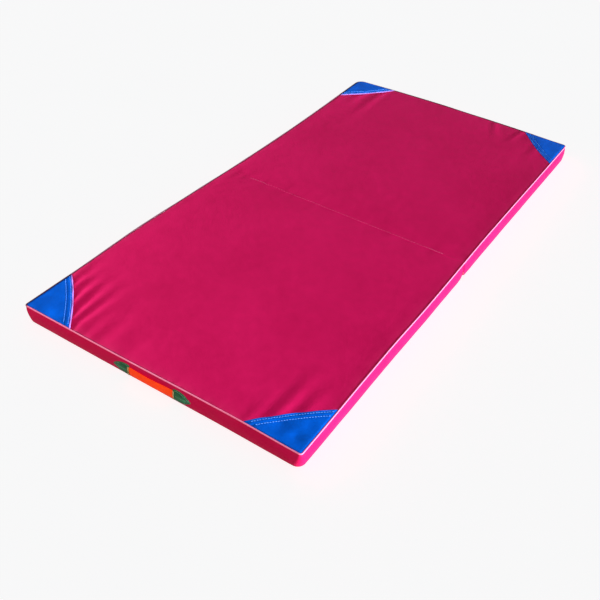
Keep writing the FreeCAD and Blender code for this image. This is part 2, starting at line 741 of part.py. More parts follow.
fold_web()
keep("fold_stitching",
     rod("fold_row", "params.stitch_rad", "params.fold_row_left+params.fold_row_right",
         ("-params.fold_row_left", "0", "params.mat_thick+params.stitch_rad")))
doc.recompute()

# ---------------------------------------------------------------- far panel
# The two zips are the same sewn panel turned end for end, so the far one closes at the other side
for label, obj in list(parts.items()):
    if "near" not in label:
        continue
    far_label = label.replace("near", "far")
    far = mirrored(far_label + "_mirror", obj, Vector(0, 1, 0))
    if label in ("zip_slider_near", "zip_pull_near"):
        far = mirrored(far_label + "_turned", far, Vector(1, 0, 0))
    keep(far_label, far)
doc.recompute()

# ---------------------------------------------------------------- checks and export
bad = [o.Name for o in doc.Objects if any(w in o.State for w in ("Invalid", "Error"))]
if bad:
    raise RuntimeError(f"objects failed: {bad}")
for label, obj in parts.items():
    shape = obj.Shape
    if shape.isNull() or not shape.isValid() or not shape.Solids:
        raise RuntimeError(f"{label}: bad shape")
    if any(solid.Volume <= 0 for solid in shape.Solids):
        raise RuntimeError(f"{label}: a solid has no volume")
os.makedirs("parts", exist_ok=True)
for label, obj in parts.items():
    obj.Shape.exportStep(os.path.join("parts", label + ".step"))
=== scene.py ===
"""A folding two-panel gym mat lying open and flat on the floor.

Metres, +Z up, floor at z = 0. X runs across the mat (left is -X), Y along it. The fold line is
y = 0; the near panel lies on -Y and the far panel on +Y. Each panel has a foam core, a cover with
a base, outer wall and inner wall (with a zip), corner patches and a handle on its end wall. One
top sheet and one piping cord run over both panels.

`sy` is -1 on the near panel and +1 on the far one; `sx` is -1 on the left and +1 on the right.
"""

import json
import math

import bpy
import numpy as np
from mathutils import Matrix, Vector

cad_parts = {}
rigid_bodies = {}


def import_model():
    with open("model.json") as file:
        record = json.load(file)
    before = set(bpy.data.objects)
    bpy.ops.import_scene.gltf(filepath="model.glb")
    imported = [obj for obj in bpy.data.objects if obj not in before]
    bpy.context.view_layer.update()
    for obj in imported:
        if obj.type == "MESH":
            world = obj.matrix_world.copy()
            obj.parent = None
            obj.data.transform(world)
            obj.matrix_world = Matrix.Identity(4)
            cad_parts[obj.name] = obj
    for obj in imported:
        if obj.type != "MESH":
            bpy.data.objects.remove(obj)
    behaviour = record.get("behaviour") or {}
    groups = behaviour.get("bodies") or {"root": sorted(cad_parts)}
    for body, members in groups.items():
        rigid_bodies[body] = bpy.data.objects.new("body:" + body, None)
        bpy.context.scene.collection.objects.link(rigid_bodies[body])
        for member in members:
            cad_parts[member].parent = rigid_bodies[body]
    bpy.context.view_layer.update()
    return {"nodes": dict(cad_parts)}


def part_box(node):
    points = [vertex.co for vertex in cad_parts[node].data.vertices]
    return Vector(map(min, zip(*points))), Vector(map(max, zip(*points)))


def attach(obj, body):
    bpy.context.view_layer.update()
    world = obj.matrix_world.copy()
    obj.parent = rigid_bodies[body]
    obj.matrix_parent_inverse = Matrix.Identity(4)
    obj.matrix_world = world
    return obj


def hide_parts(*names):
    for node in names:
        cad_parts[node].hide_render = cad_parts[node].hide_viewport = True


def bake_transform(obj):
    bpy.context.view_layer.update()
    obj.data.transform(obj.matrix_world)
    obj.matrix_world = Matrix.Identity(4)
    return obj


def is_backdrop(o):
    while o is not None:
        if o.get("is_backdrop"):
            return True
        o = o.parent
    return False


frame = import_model()
SCENE = bpy.context.scene

# ------------------------------------------------------------------ sizes read from the frame
base_lo, base_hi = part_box("base_sheet_near")
top_lo, top_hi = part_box("top_sheet_near")
pipe_lo, pipe_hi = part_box("piping_near")
patch_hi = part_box("corner_patch_near_left")[1]
slot_lo, slot_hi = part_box("zip_tapes_near")
leaf_lo, leaf_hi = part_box("handle_leaf_near_right")
strap_lo, strap_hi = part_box("handle_strap_near")

HALF_X = base_hi.x                  # half width of the mat
HALF_Y = -base_lo.y                 # half length of the mat
GAP = -base_hi.y                    # from the fold to each panel's inner wall
CLOTH = base_hi.z                   # cover thickness
THICK = top_hi.z                    # mat thickness
TOP_X, TOP_Y = top_hi.x, -top_lo.y  # half size of the top sheet
CORD = (pipe_hi.z - pipe_lo.z) / 2  # piping radius
CORD_Z = (pipe_hi.z + pipe_lo.z) / 2
CORD_TIGHT = 0.88                   # share of its radius left when the cord is pulled tight
CORD_X, CORD_Y = pipe_hi.x - CORD, -pipe_lo.y - CORD
CORD_INSET = CORD_X - TOP_X         # from the cord's line in to the top sheet's edge
PATCH_LEG = patch_hi.x + TOP_X      # corner patch, along each edge
PATCH_BOW = 0.007                   # how far its long edge bows out
TOP_LIMIT = 0.0673                  # two crowned tops still close on each other when folded

WALL_TOP = CORD_Z - CORD * CORD_TIGHT - 0.0001
WALL_SIDE = HALF_Y - GAP            # length of one side of a panel's U-shaped outer wall
WALL_LENGTH = 2 * WALL_SIDE + 2 * HALF_X
FOOT_X, FOOT_Z = 0.0055, 0.0075     # the round the wall makes at the floor
FOOT_FULLER = 0.016                 # added to the vertical corners' radius at the floor
FOLD_LIP = {-1: 0.0034, 1: 0.0031}  # how far each padded edge leans over the fold's slit

ZIP_X = 0.4895                      # half length of the zip's opening
SLOT_X = slot_hi.x                  # half length of the zip tapes
ZIP_Z = (slot_lo.z + slot_hi.z) / 2
SLOT_H = 0.007                      # half height of the opening

HANDLE_Z = (strap_lo.z + strap_hi.z) / 2
STRAP_X = strap_hi.x
STRAP_HALF = (strap_hi.z - strap_lo.z) / 2
LEAF_X = leaf_lo.x                  # where a leaf starts
LEAF_LENGTH = leaf_hi.x - leaf_lo.x

PANELS = ((-1, "near"), (1, "far"))
SIDES = ((-1, "left"), (1, "right"))
CORNERS = [(sx, sy, tag, side) for sy, tag in PANELS for sx, side in SIDES]
# radius of the cord's line at each soft corner of the seam: (sx, sy) -> radius
SEAM_RADIUS = {(-1, -1): 0.0085, (1, -1): 0.0080, (-1, 1): 0.0320, (1, 1): 0.0135}


# ------------------------------------------------------------------ shaping functions
def smooth(t):
    """Smooth step from 0 to 1."""
    t = np.clip(t, 0.0, 1.0)
    return t * t * (3 - 2 * t)


def bell(x, width):
    """Bell curve whose standard deviation is the width."""
    return np.exp(-0.5 * (x / width) ** 2)


def hill(x, width):
    """Bell curve that falls to 1/e at the width."""
    return np.exp(-(x / width) ** 2)


def softmin(a, b, blend):
    return -blend * np.logaddexp(-a / blend, -b / blend)


def roll(distance, reach, drop):
    """Drop of a surface at a distance from its edge, where it turns over an elliptical round."""
    t = 1 - np.clip(distance / reach, 0, 1)
    return drop * (1 - np.sqrt(np.maximum(1 - t * t, 0)))


def arc_length(*axes):
    """Running length along a line of points."""
    return np.concatenate([[0], np.cumsum(np.linalg.norm(np.diff(np.stack(axes)), axis=0))])


def mirror(sy):
    """Factors that carry near-panel points onto panel sy."""
    return np.array([1.0, -sy, 1.0])


class Noise:
    """Smooth value noise from -1 to 1 with a fixed seed."""

    def __init__(self, seed):
        self.table = np.random.RandomState(seed).uniform(-1, 1, (256, 256))

    def __call__(self, x, y, size):
        u = np.asarray(x, float) / size + 117.31
        v = np.asarray(y, float) / size + 91.73
        i, j = np.floor(u).astype(int), np.floor(v).astype(int)
        f, g = u - i, v - j
        f = f * f * f * (f * (6 * f - 15) + 10)
        g = g * g * g * (g * (6 * g - 15) + 10)
        t = self.table
        low = t[i % 256, j % 256] * (1 - f) + t[(i + 1) % 256, j % 256] * f
        high = t[i % 256, (j + 1) % 256] * (1 - f) + t[(i + 1) % 256, (j + 1) % 256] * f
        return low * (1 - g) + high * g


noise_a, noise_b, noise_c, noise_d = Noise(11), Noise(23), Noise(37), Noise(53)


def curve(points, spread=0.05):
    """A smooth function through a few (position in m, value in mm) pairs."""
    at, value = np.array(points, float).T
    value = value / 1000
    grid = np.linspace(at[0] - 0.3, at[-1] + 0.3, 800)
    step = grid[1] - grid[0]
    count = int(3 * spread / step) + 1
    kernel = np.exp(-0.5 * (np.arange(-count, count + 1) * step / spread) ** 2)
    padded = np.pad(np.interp(grid, at, value), count, mode="edge")
    smoothed = np.convolve(padded, kernel / kernel.sum(), mode="valid")
    return lambda t: np.interp(t, grid, smoothed)


# how far each side of the soft cover wanders outwards from straight: (place along it, mm)
WANDER = {
    "left": curve([(-0.98, 1), (-0.8, 0), (-0.5, 7), (-0.2, -2), (0.05, -11), (0.375, -15),
                   (0.6, -12), (0.98, -2)]),
    "right": curve([(-0.95, 2), (-0.5, -4), (-0.28, -1), (0.0, -4), (0.2, -6), (0.6, -4),
                    (0.95, -2)]),
    "near": curve([(-0.48, 5), (-0.3, 4), (-0.15, 4), (0.15, -1), (0.3, -2), (0.46, 1)]),
    "far": curve([(-0.48, 0), (-0.3, 12), (-0.1, 17), (0.15, 14), (0.35, 7), (0.48, 0)]),
}
WANDER_REACH = 0.16                 # how far in from a side its wander is felt


def warp(points):
    """Carry points of the straight mat onto the wandering sides of the soft one."""
    points = np.array(points, float)
    x, y, z = (points[..., i].copy() for i in range(3))
    amount = 0.35 + 0.65 * np.clip(z / THICK, 0, 1)

    def push(side, out, half, along):
        return smooth((out - (half - WANDER_REACH)) / WANDER_REACH) * WANDER[side](along)

    points[..., 0] += amount * (push("right", x, HALF_X, y) - push("left", -x, HALF_X, y))
    points[..., 1] += amount * (push("far", y, HALF_Y, x) - push("near", -y, HALF_Y, x))
    return points


def round_corner(x, y, half_x, half_y, radius):
    """Map a square-cornered rectangle onto one with rounded corners."""
    ax, ay = np.abs(x), np.abs(y)
    u = np.clip((ax - (half_x - radius)) / radius, 0, 1)
    v = np.clip((ay - (half_y - radius)) / radius, 0, 1)
    corner = (u > 0) & (v > 0)
    new_x = np.where(corner, (half_x - radius) + radius * u * np.sqrt(1 - v * v / 2), ax)
    new_y = np.where(corner, (half_y - radius) + radius * v * np.sqrt(1 - u * u / 2), ay)
    return np.sign(x) * new_x, np.sign(y) * new_y


def inset(x, y, half_x, half_y, radius):
    """Distance in from a rounded rectangle's outline."""
    qx, qy = np.abs(x) - (half_x - radius), np.abs(y) - (half_y - radius)
    outside = np.hypot(np.maximum(qx, 0), np.maximum(qy, 0))
    return radius - (outside + np.minimum(np.maximum(qx, qy), 0))


def seam_radius(x, y):
    """Radius of the seam's corner in the quarter that holds x, y."""
    x, y = np.asarray(x, float), np.asarray(y, float)
    near = np.where(x < 0, SEAM_RADIUS[-1, -1], SEAM_RADIUS[1, -1])
    far = np.where(x < 0, SEAM_RADIUS[-1, 1], SEAM_RADIUS[1, 1])
    return np.where(y < 0, near, far)


def patch_depth(x, y, sx, sy):
    """Distance from a patch's long edge towards its corner (negative outside the patch)."""
    u, v = TOP_X - sx * x, TOP_Y - sy * y
    t = np.clip((u - v) / PATCH_LEG, -1, 1)
    return (PATCH_LEG + math.sqrt(2) * PATCH_BOW * (1 - t * t) - (u + v)) / math.sqrt(2)


# ------------------------------------------------------------------ cloth simulation
# How far slack cloth has risen: the top sheet over x, y and each panel's wall (by sy) over
# distance along it and height. Flat until simulated.
CLOTH_RISE = dict.fromkeys(("top", -1, 1), lambda u, v: 0.0)


def bicubic(heights, x0, y0, dx, dy):
    """A smooth function through a grid of heights."""
    rows, columns = heights.shape

    def weights(f):
        f2, f3 = f * f, f * f * f
        return (-0.5 * f3 + f2 - 0.5 * f, 1.5 * f3 - 2.5 * f2 + 1,
                -1.5 * f3 + 2 * f2 + 0.5 * f, 0.5 * f3 - 0.5 * f2)

    def at(x, y):
        u = np.clip((np.asarray(x, float) - x0) / dx, 0, rows - 1.000001)
        v = np.clip((np.asarray(y, float) - y0) / dy, 0, columns - 1.000001)
        i, j = np.floor(u).astype(int), np.floor(v).astype(int)
        wu, wv = weights(u - i), weights(v - j)
        total = 0
        for a in range(4):
            row = np.clip(i + a - 1, 0, rows - 1)
            for b in range(4):
                column = np.clip(j + b - 1, 0, columns - 1)
                total = total + wu[a] * wv[b] * heights[row, column]
        return total
    return at


def simulate_sheet(name, xs, ys, pin, slack, grow, pressure, frames):
    """Inflate a flat sheet held where pinned; gives back how far each point has risen."""
    gx, gy = np.meshgrid(xs, ys, indexing="ij")
    verts = np.stack([gx, gy, 0.00002 * noise_c(gx, gy, 0.05)], -1).reshape(-1, 3)
    mesh = bpy.data.meshes.new(name)
    mesh.from_pydata(verts.tolist(), [], grid_quads(len(xs), len(ys)).tolist())
    mesh.update()
    obj = bpy.data.objects.new(name, mesh)
    SCENE.collection.objects.link(obj)
    for key, weight in (("pin", pin), ("slack", slack)):
        group = obj.vertex_groups.new(name=key)
        levels = np.round(np.clip(weight.reshape(-1), 0, 1), 2)
        for level in np.unique(levels):
            if level > 0:
                group.add(np.nonzero(levels == level)[0].tolist(), float(level), "REPLACE")
    cloth = obj.modifiers.new("cloth", "CLOTH")
    settings = cloth.settings
    settings.quality = 5
    settings.mass = 0.25
    settings.tension_stiffness = settings.compression_stiffness = 14.0
    settings.shear_stiffness = 5.0
    settings.bending_stiffness = 0.25
    settings.air_damping = 2.0
    settings.vertex_group_mass = "pin"
    settings.pin_stiffness = 1.0
    settings.vertex_group_shrink = "slack"
    settings.shrink_min = 0.0
    settings.shrink_max = -grow
    settings.use_pressure = True
    settings.uniform_pressure_force = pressure
    settings.effector_weights.gravity = 0.0
    cloth.collision_settings.use_collision = False
    cloth.collision_settings.use_self_collision = False
    cloth.point_cache.frame_start, cloth.point_cache.frame_end = 1, frames + 1
    for f in range(1, frames + 1):
        SCENE.frame_set(f)
    settled = obj.evaluated_get(bpy.context.evaluated_depsgraph_get())
    co = np.zeros(len(verts) * 3, np.float32)
    settled.data.vertices.foreach_get("co", co)
    SCENE.frame_set(1)
    bpy.data.objects.remove(obj)
    return co.reshape(len(xs), len(ys), 3)[..., 2].astype(float)


def smooth_grid(z, rounds):
    for _ in range(rounds):
        p = np.pad(z, 1, mode="edge")
        z = (p[:-2, 1:-1] + p[2:, 1:-1] + p[1:-1, :-2] + p[1:-1, 2:] + 4 * z) / 8
    return z


def simulate_top():
    """Top sheet: held at the piped seam, fold and patches; slackest beside patches and seams."""
    xs, ys = np.linspace(-TOP_X, TOP_X, 85), np.linspace(-TOP_Y, TOP_Y, 169)
    gx, gy = np.meshgrid(xs, ys, indexing="ij")
    edge = np.minimum(TOP_X - np.abs(gx), TOP_Y - np.abs(gy))
    pin = ((edge < 0.004) | (np.abs(gy) < 0.007)).astype(float)
    slack = 0.25 + 0.30 * noise_a(gx, gy, 0.22) + 0.45 * np.exp(-edge / 0.05)
    for sx, sy, _, _ in CORNERS:
        depth = patch_depth(gx, gy, sx, sy)
        here = (sx * gx > TOP_X - PATCH_LEG - 0.2) & (sy * gy > TOP_Y - PATCH_LEG - 0.2)
        pin = np.maximum(pin, ((depth > 0.0) & here).astype(float))
        slack = slack + np.where(here, 0.7 * np.exp(-np.maximum(-depth, 0) / 0.09), 0)
    z = simulate_sheet("sim_top", xs, ys, pin, slack, grow=0.010, pressure=0.35, frames=26)
    # keep the fine wrinkles at a set strength, and a little of the broad swell
    broad = smooth_grid(z, 60)
    fine = z - broad
    strength, limit, swell = 0.0006, 0.0011, 0.0009
    fine = limit * np.tanh(fine * (strength / max(fine.std(), 1e-6)) / limit)
    z = fine + swell * broad / max(np.abs(broad).max(), 1e-6)
    CLOTH_RISE["top"] = bicubic(z, -TOP_X, -TOP_Y, xs[1] - xs[0], ys[1] - ys[0])


def simulate_wall(sy):
    """A panel's outer wall laid out flat, held at the piping and at the floor."""
    along, up = np.linspace(0, WALL_LENGTH, 301), np.linspace(0, WALL_TOP, 9)
    gs, gz = np.meshgrid(along, up, indexing="ij")
    pin = ((gz < 1e-6) | (gz > WALL_TOP - 1e-6)).astype(float)
    slack = np.clip(0.45 + 0.55 * noise_b(gs + 7.0 * sy, gz, 0.10), 0, 1)
    z = simulate_sheet("sim_wall", along, up + 0.3 * sy, pin, slack,
                       grow=0.012, pressure=0.6, frames=20)
    z = np.clip(z, -0.006, 0.006)
    scale = 0.0030 / max(np.abs(z).max(), 1e-6)
    CLOTH_RISE[sy] = bicubic(z * scale, 0, 0, along[1] - along[0], up[1] - up[0])


# ------------------------------------------------------------------ the top sheet's surface
# raised folds of slack cloth: start, end, width, height
PUCKERS = [
    ((-0.462, -0.86), (-0.468, -0.70), 0.0080, 0.0024),
    ((-0.408, -0.90), (-0.428, -0.74), 0.0090, 0.0032),
    ((-0.352, -0.965), (-0.380, -0.72), 0.0092, 0.0034),
    ((-0.315, -0.99), (-0.320, -0.74), 0.0092, 0.0029),
    ((-0.262, -0.985), (-0.272, -0.84), 0.0100, 0.0010),
    ((-0.205, -0.975), (-0.235, -0.72), 0.0160, 0.0014),
    ((-0.10, -0.985), (-0.12, -0.84), 0.0200, 0.0009),
    ((0.366, -0.94), (0.388, -0.68), 0.0120, 0.0029),
    ((0.425, -0.88), (0.444, -0.73), 0.0120, 0.0020),
    ((0.318, -0.985), (0.330, -0.86), 0.0110, 0.0012),
    ((-0.345, 0.94), (-0.350, 0.58), 0.0120, 0.0018),
    ((-0.415, 0.89), (-0.43, 0.72), 0.0110, 0.0012),
    ((0.300, 0.975), (0.282, 0.84), 0.0085, 0.0015),
    ((0.180, 0.99), (0.250, 0.82), 0.0095, 0.0015),
    ((0.40, 0.90), (0.42, 0.76), 0.0110, 0.0010),
]
# soft hollows pressed into a patch, by (sx, sy): x, y, radius, depth
HOLLOWS = {
    (1, -1): ((0.458, -0.958, 0.014, 0.0016), (0.403, -0.948, 0.014, 0.0012),
              (0.470, -0.905, 0.014, 0.0006)),
    (-1, -1): ((-0.455, -0.925, 0.020, 0.0006),),
    (1, 1): ((0.455, 0.93, 0.018, 0.0007),),
}


def pucker(x, y):
    """Height added by the puckers: a ridge or valley with a shallow opposite fold each side."""
    height = np.zeros_like(x)
    for n, ((x0, y0), (x1, y1), width, rise) in enumerate(PUCKERS):
        dx, dy = x1 - x0, y1 - y0
        length = math.hypot(dx, dy)
        t = ((x - x0) * dx + (y - y0) * dy) / (length * length)
        off = ((x - x0) * dy - (y - y0) * dx) / length
        off = off + 0.004 * noise_d(t * 3.0 + n * 7.7, 0 * t, 1.0)
        wide = width * (1 + 0.7 * np.clip(t, 0, 1))
        fade = rise * smooth((t + 0.35) / 0.35) * (1 - smooth((t - 0.15) / 0.95))
        flanks = bell(off + 2.1 * wide, wide) + bell(off - 2.1 * wide, wide)
        height -= fade * (bell(off, wide) - 0.30 * flanks)
    return height


def patch_bed(x, y, sx, sy):
    """Height of the nearly flat top sheet under a corner patch."""
    middle = np.exp(-0.5 * ((sx * x - 0.40) ** 2 + (sy * y - 0.905) ** 2) / 0.028 ** 2)
    bed = THICK - 0.0006 + 0.00060 * noise_d(x + 2.0 * sx, y, 0.055) - 0.0004 * middle
    for hollow_x, hollow_y, wide, deep in HOLLOWS.get((sx, sy), ()):
        bed = bed - deep * np.exp(-0.5 * ((x - hollow_x) ** 2 + (y - hollow_y) ** 2) / wide ** 2)
    return bed


def top_height(x, y):
    """Height of the top sheet's upper face over the floor."""
    x, y = np.asarray(x, float), np.asarray(y, float)
    edge = inset(x, y, TOP_X, TOP_Y, seam_radius(x, y) - CORD_INSET)
    seam_z = THICK - 0.0002
    crown = 0.0014 * (1 - (x / HALF_X) ** 4) * (1 - ((np.abs(y) - 0.5) / 0.5) ** 6)
    h = seam_z + crown
    h = h + 0.0007 * noise_a(x, y, 0.26) + 0.00028 * noise_b(x, y, 0.085)
    h = h + 0.00008 * noise_c(x, y, 0.03)
    h = h + pucker(x, y) + CLOTH_RISE["top"](x, y)
    # short gathers along the piped seam
    along = np.where(np.abs(x) * 2 > np.abs(y), y, x)
    gathers = noise_c(along + 3.0 * np.sign(x), 0 * x, 0.016)
    h = h + 0.00045 * np.exp(-edge / 0.016) * gathers
    # the sewn fold line, in its shallow valley with gathers beside it
    fold = bell(y, 0.0045)
    h = h * (1 - fold) + seam_z * fold - 0.0005 * bell(y, 0.006) * (1 - 0.35 * fold)
    h = h + 0.0004 * bell(y, 0.03) * noise_c(x, 0 * x, 0.022)
    # held flat under the corner patches
    for sx, sy, _, _ in CORNERS:
        held = smooth((patch_depth(x, y, sx, sy) + 0.004) / 0.010)
        near_x = sx * x > TOP_X - PATCH_LEG - 0.01
        near_y = sy * y > TOP_Y - PATCH_LEG - 0.01
        held = np.where(near_x & near_y, held, 0)
        h = h * (1 - held) + patch_bed(x, y, sx, sy) * held
    return softmin(h, TOP_LIMIT, 0.00025) - roll(edge, 0.0060, 0.0018)


# ------------------------------------------------------------------ mesh building
FINE_ENDS = (0, 0.0006, 0.0014, 0.0024, 0.0038, 0.0054, 0.0073, 0.0097, 0.0125, 0.016, 0.020,
             0.025, 0.031, 0.038)


def grid_lines(half, ends=FINE_ENDS, step=0.0062):
    """Grid lines from -half to half; `ends` are the distances in from both ends."""
    ends = np.array(ends)
    middle = half - ends[-1]
    count = int(round(2 * middle / step))
    return np.concatenate([-half + ends[:-1], np.linspace(-middle, middle, count + 1),
                           (half - ends[:-1])[::-1]])


def grid_quads(rows, columns, keep=None):
    i, j = np.meshgrid(np.arange(rows - 1), np.arange(columns - 1), indexing="ij")
    corner, after = i * columns + j, (i + 1) * columns + j
    quads = np.stack([corner, after, after + 1, corner + 1], -1)
    if keep is not None:
        quads = quads[keep]
    return quads.reshape(-1, 4)


def ring_quads(rings, sides, closed=False):
    """Quads between rings of points; closed joins the last ring to the first."""
    i, j = np.meshgrid(np.arange(rings if closed else rings - 1), np.arange(sides), indexing="ij")
    here, after = i * sides, (i + 1) % rings * sides
    turn = (j + 1) % sides
    return np.stack([here + j, after + j, after + turn, here + turn], -1).reshape(-1, 4)


def volume(verts, quads):
    """Signed volume; negative when the faces point inwards."""
    verts = verts - verts.mean(0)
    total = 0.0
    for a, b, c in ((0, 1, 2), (0, 2, 3)):
        normals = np.cross(verts[quads[:, b]], verts[quads[:, c]])
        total += np.einsum("ij,ij->", verts[quads[:, a]], normals)
    return total / 6


def add_object(name, verts, faces, mats, uv=None, face_mats=None, sharp=55.0, fields=None):
    """Smooth-shaded object; `fields` are point attributes, `sharp` the crease angle in degrees."""
    mesh = bpy.data.meshes.new(name)
    mesh.from_pydata(np.asarray(verts, float).tolist(), [], [list(map(int, f)) for f in faces])
    mesh.polygons.foreach_set("use_smooth", np.ones(len(mesh.polygons), bool))
    for mat in mats:
        mesh.materials.append(mat)
    if face_mats is not None:
        mesh.polygons.foreach_set("material_index", np.asarray(face_mats, np.int32))
    if uv is not None:
        layer = mesh.uv_layers.new(name="metric")
        corner_verts = np.zeros(len(mesh.loops), np.int32)
        mesh.loops.foreach_get("vertex_index", corner_verts)
        layer.data.foreach_set("uv", np.asarray(uv, np.float32)[corner_verts].ravel())
    for key, values in (fields or {}).items():
        attribute = mesh.attributes.new(key, "FLOAT", "POINT")
        attribute.data.foreach_set("value", np.asarray(values, np.float32))
    mesh.validate()
    mesh.update()
    mesh.set_sharp_from_angle(angle=math.radians(sharp))
    obj = bpy.data.objects.new(name, mesh)
    SCENE.collection.objects.link(obj)
    return obj


def close_sheet(outer, inner, keep=None):
    """Closed sheet from two point grids: its vertices, then outer, inner and rim faces."""
    quads = grid_quads(*outer.shape[:2], keep)
    verts = np.concatenate([outer.reshape(-1, 3), inner.reshape(-1, 3)])
    count = len(verts) // 2
    edges = np.concatenate([quads[:, [i, (i + 1) % 4]] for i in range(4)])
    ends = np.sort(edges, 1).astype(np.int64)
    _, first, uses = np.unique(ends[:, 0] * count + ends[:, 1],
                               return_index=True, return_counts=True)
    a, b = edges[first[uses == 1]].T
    rim = np.stack([b, a, a + count, b + count], 1)
    faces = np.concatenate([quads, quads[:, ::-1] + count, rim])
    if volume(verts, faces) < 0:
        faces = faces[:, ::-1]
    return verts, faces, len(quads)


def sheet_uv(u, v):
    """The same coordinates for the outer and the inner face."""
    return np.tile(np.stack([u, v], -1).reshape(-1, 2), (2, 1))


def shell(name, outer, inner, uv, mats, keep=None, outer_mat=0, inner_mat=1, rim_mat=1,
          sharp=55.0, **fields):
    """Object from two point grids; `uv` and `fields` are given on the same grid."""
    verts, faces, count = close_sheet(outer, inner, keep)
    face_mats = np.concatenate([np.full(count, outer_mat), np.full(count, inner_mat),
                                np.full(len(faces) - 2 * count, rim_mat)])
    fields = {key: np.tile(values.reshape(-1), 2) for key, values in fields.items()}
    return add_object(name, verts, faces, mats, sheet_uv(*uv), face_mats, sharp, fields)


def inner_face(outer, probe, outward):
    """The cloth's other face; `outward` tells which way the outer face looks at the probe."""
    normals = np.cross(np.gradient(outer, axis=0), np.gradient(outer, axis=1))
    normals /= np.maximum(np.linalg.norm(normals, axis=-1, keepdims=True), 1e-12)
    if normals[probe] @ np.array(outward) < 0:
        normals = -normals
    return outer - normals * CLOTH


def join_parts(name, parts, mat, sharp):
    """One object from several (vertices, faces, uv) parts."""
    faces, offset = [], 0
    for verts, part_faces, _ in parts:
        faces += [[i + offset for i in face] for face in part_faces]
        offset += len(verts)
    return add_object(name, np.concatenate([part[0] for part in parts]), faces, [mat],
                      np.concatenate([part[2] for part in parts]), sharp=sharp)


def plates_object(name, plates, mat):
    """One object of closed plates, each given as (outer, inner, u, v)."""
    parts = []
    for outer, inner, u, v in plates:
        verts, faces, _ = close_sheet(outer, inner)
        parts.append((verts, faces, sheet_uv(u, v)))
    return join_parts(name, parts, mat, sharp=55.0)


def threads_object(name, parts, mat):
    return join_parts(name, parts, mat, sharp=80.0)


def strands(centre, side, up, radius, along, swell=1.0):
    """Capped six-sided strands round centre lines (strand, point, xyz); `along` is their u."""
    count, points = centre.shape[:2]
    sides = 6
    angle = np.linspace(0, 2 * math.pi, sides, endpoint=False)
    ring = side[:, :, None] * np.cos(angle)[:, None] + up[:, :, None] * np.sin(angle)[:, None]
    thick = np.ones(points) * swell * radius
    verts = (centre[:, :, None] + ring * thick[:, None, None]).reshape(-1, 3)
    one = ring_quads(points, sides)
    first = np.arange(count) * points * sides
    quads = (one[None] + first[:, None, None]).reshape(-1, 4)
    flip = volume(verts[: points * sides], one) < 0
    faces = (quads[:, ::-1] if flip else quads).tolist()
    for start in first.tolist():
        low = [start + t for t in range(sides)]
        high = [start + (points - 1) * sides + t for t in range(sides)]
        faces += [low[::-1], high] if flip else [low, high[::-1]]
    shape = (count, points, sides)
    u = np.broadcast_to(along[..., None], shape)
    v = np.broadcast_to(angle * radius, shape)
    return verts, faces, np.stack([u.reshape(-1), v.reshape(-1)], 1)


def threads(start, end, normal, radius, rise=0.25):
    """Stitches: small arched capsules from start to end, their ends drawn into the cloth."""
    place = np.array([0.0, 0.05, 0.16, 0.34, 0.5, 0.66, 0.84, 0.95, 1.0])
    swell = np.array([0.40, 0.82, 1.0, 1.05, 1.0, 1.05, 1.0, 0.82, 0.40])
    lift = np.array([-1.5, -0.85, -0.1, rise, rise * 1.2, rise, -0.1, -0.85, -1.5]) * radius
    length = np.linalg.norm(end - start, axis=1, keepdims=True)
    way = (end - start) / length
    side = np.cross(way, normal)
    side /= np.linalg.norm(side, axis=1, keepdims=True)
    up = np.cross(side, way)
    centre = start[:, None] + (end - start)[:, None] * place[:, None]
    centre = centre + up[:, None] * lift[:, None]
    along = place * length + np.arange(len(start))[:, None] * 0.013
    return strands(centre, side[:, None], up[:, None], radius, along, swell)


def threads_along_x(x, y, z, length, radius, sy):
    """Stitches along x on an inner wall; y is given for the near panel."""
    start = np.stack([x, np.full_like(x, y), np.full_like(x, z)], 1)
    end = start + np.array([length, 0, 0])
    return threads(start * mirror(sy), end * mirror(sy), (0.0, -sy, 0.0), radius)


def hand_over(obj, slot, tag, *pieces):
    """Tell the frame which pieces an object replaces and what moves it; slot is not used."""
    if pieces:
        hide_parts(*pieces)
    if tag:
        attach(obj, f"{tag}_panel")
    else:
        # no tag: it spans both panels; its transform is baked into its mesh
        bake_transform(obj)


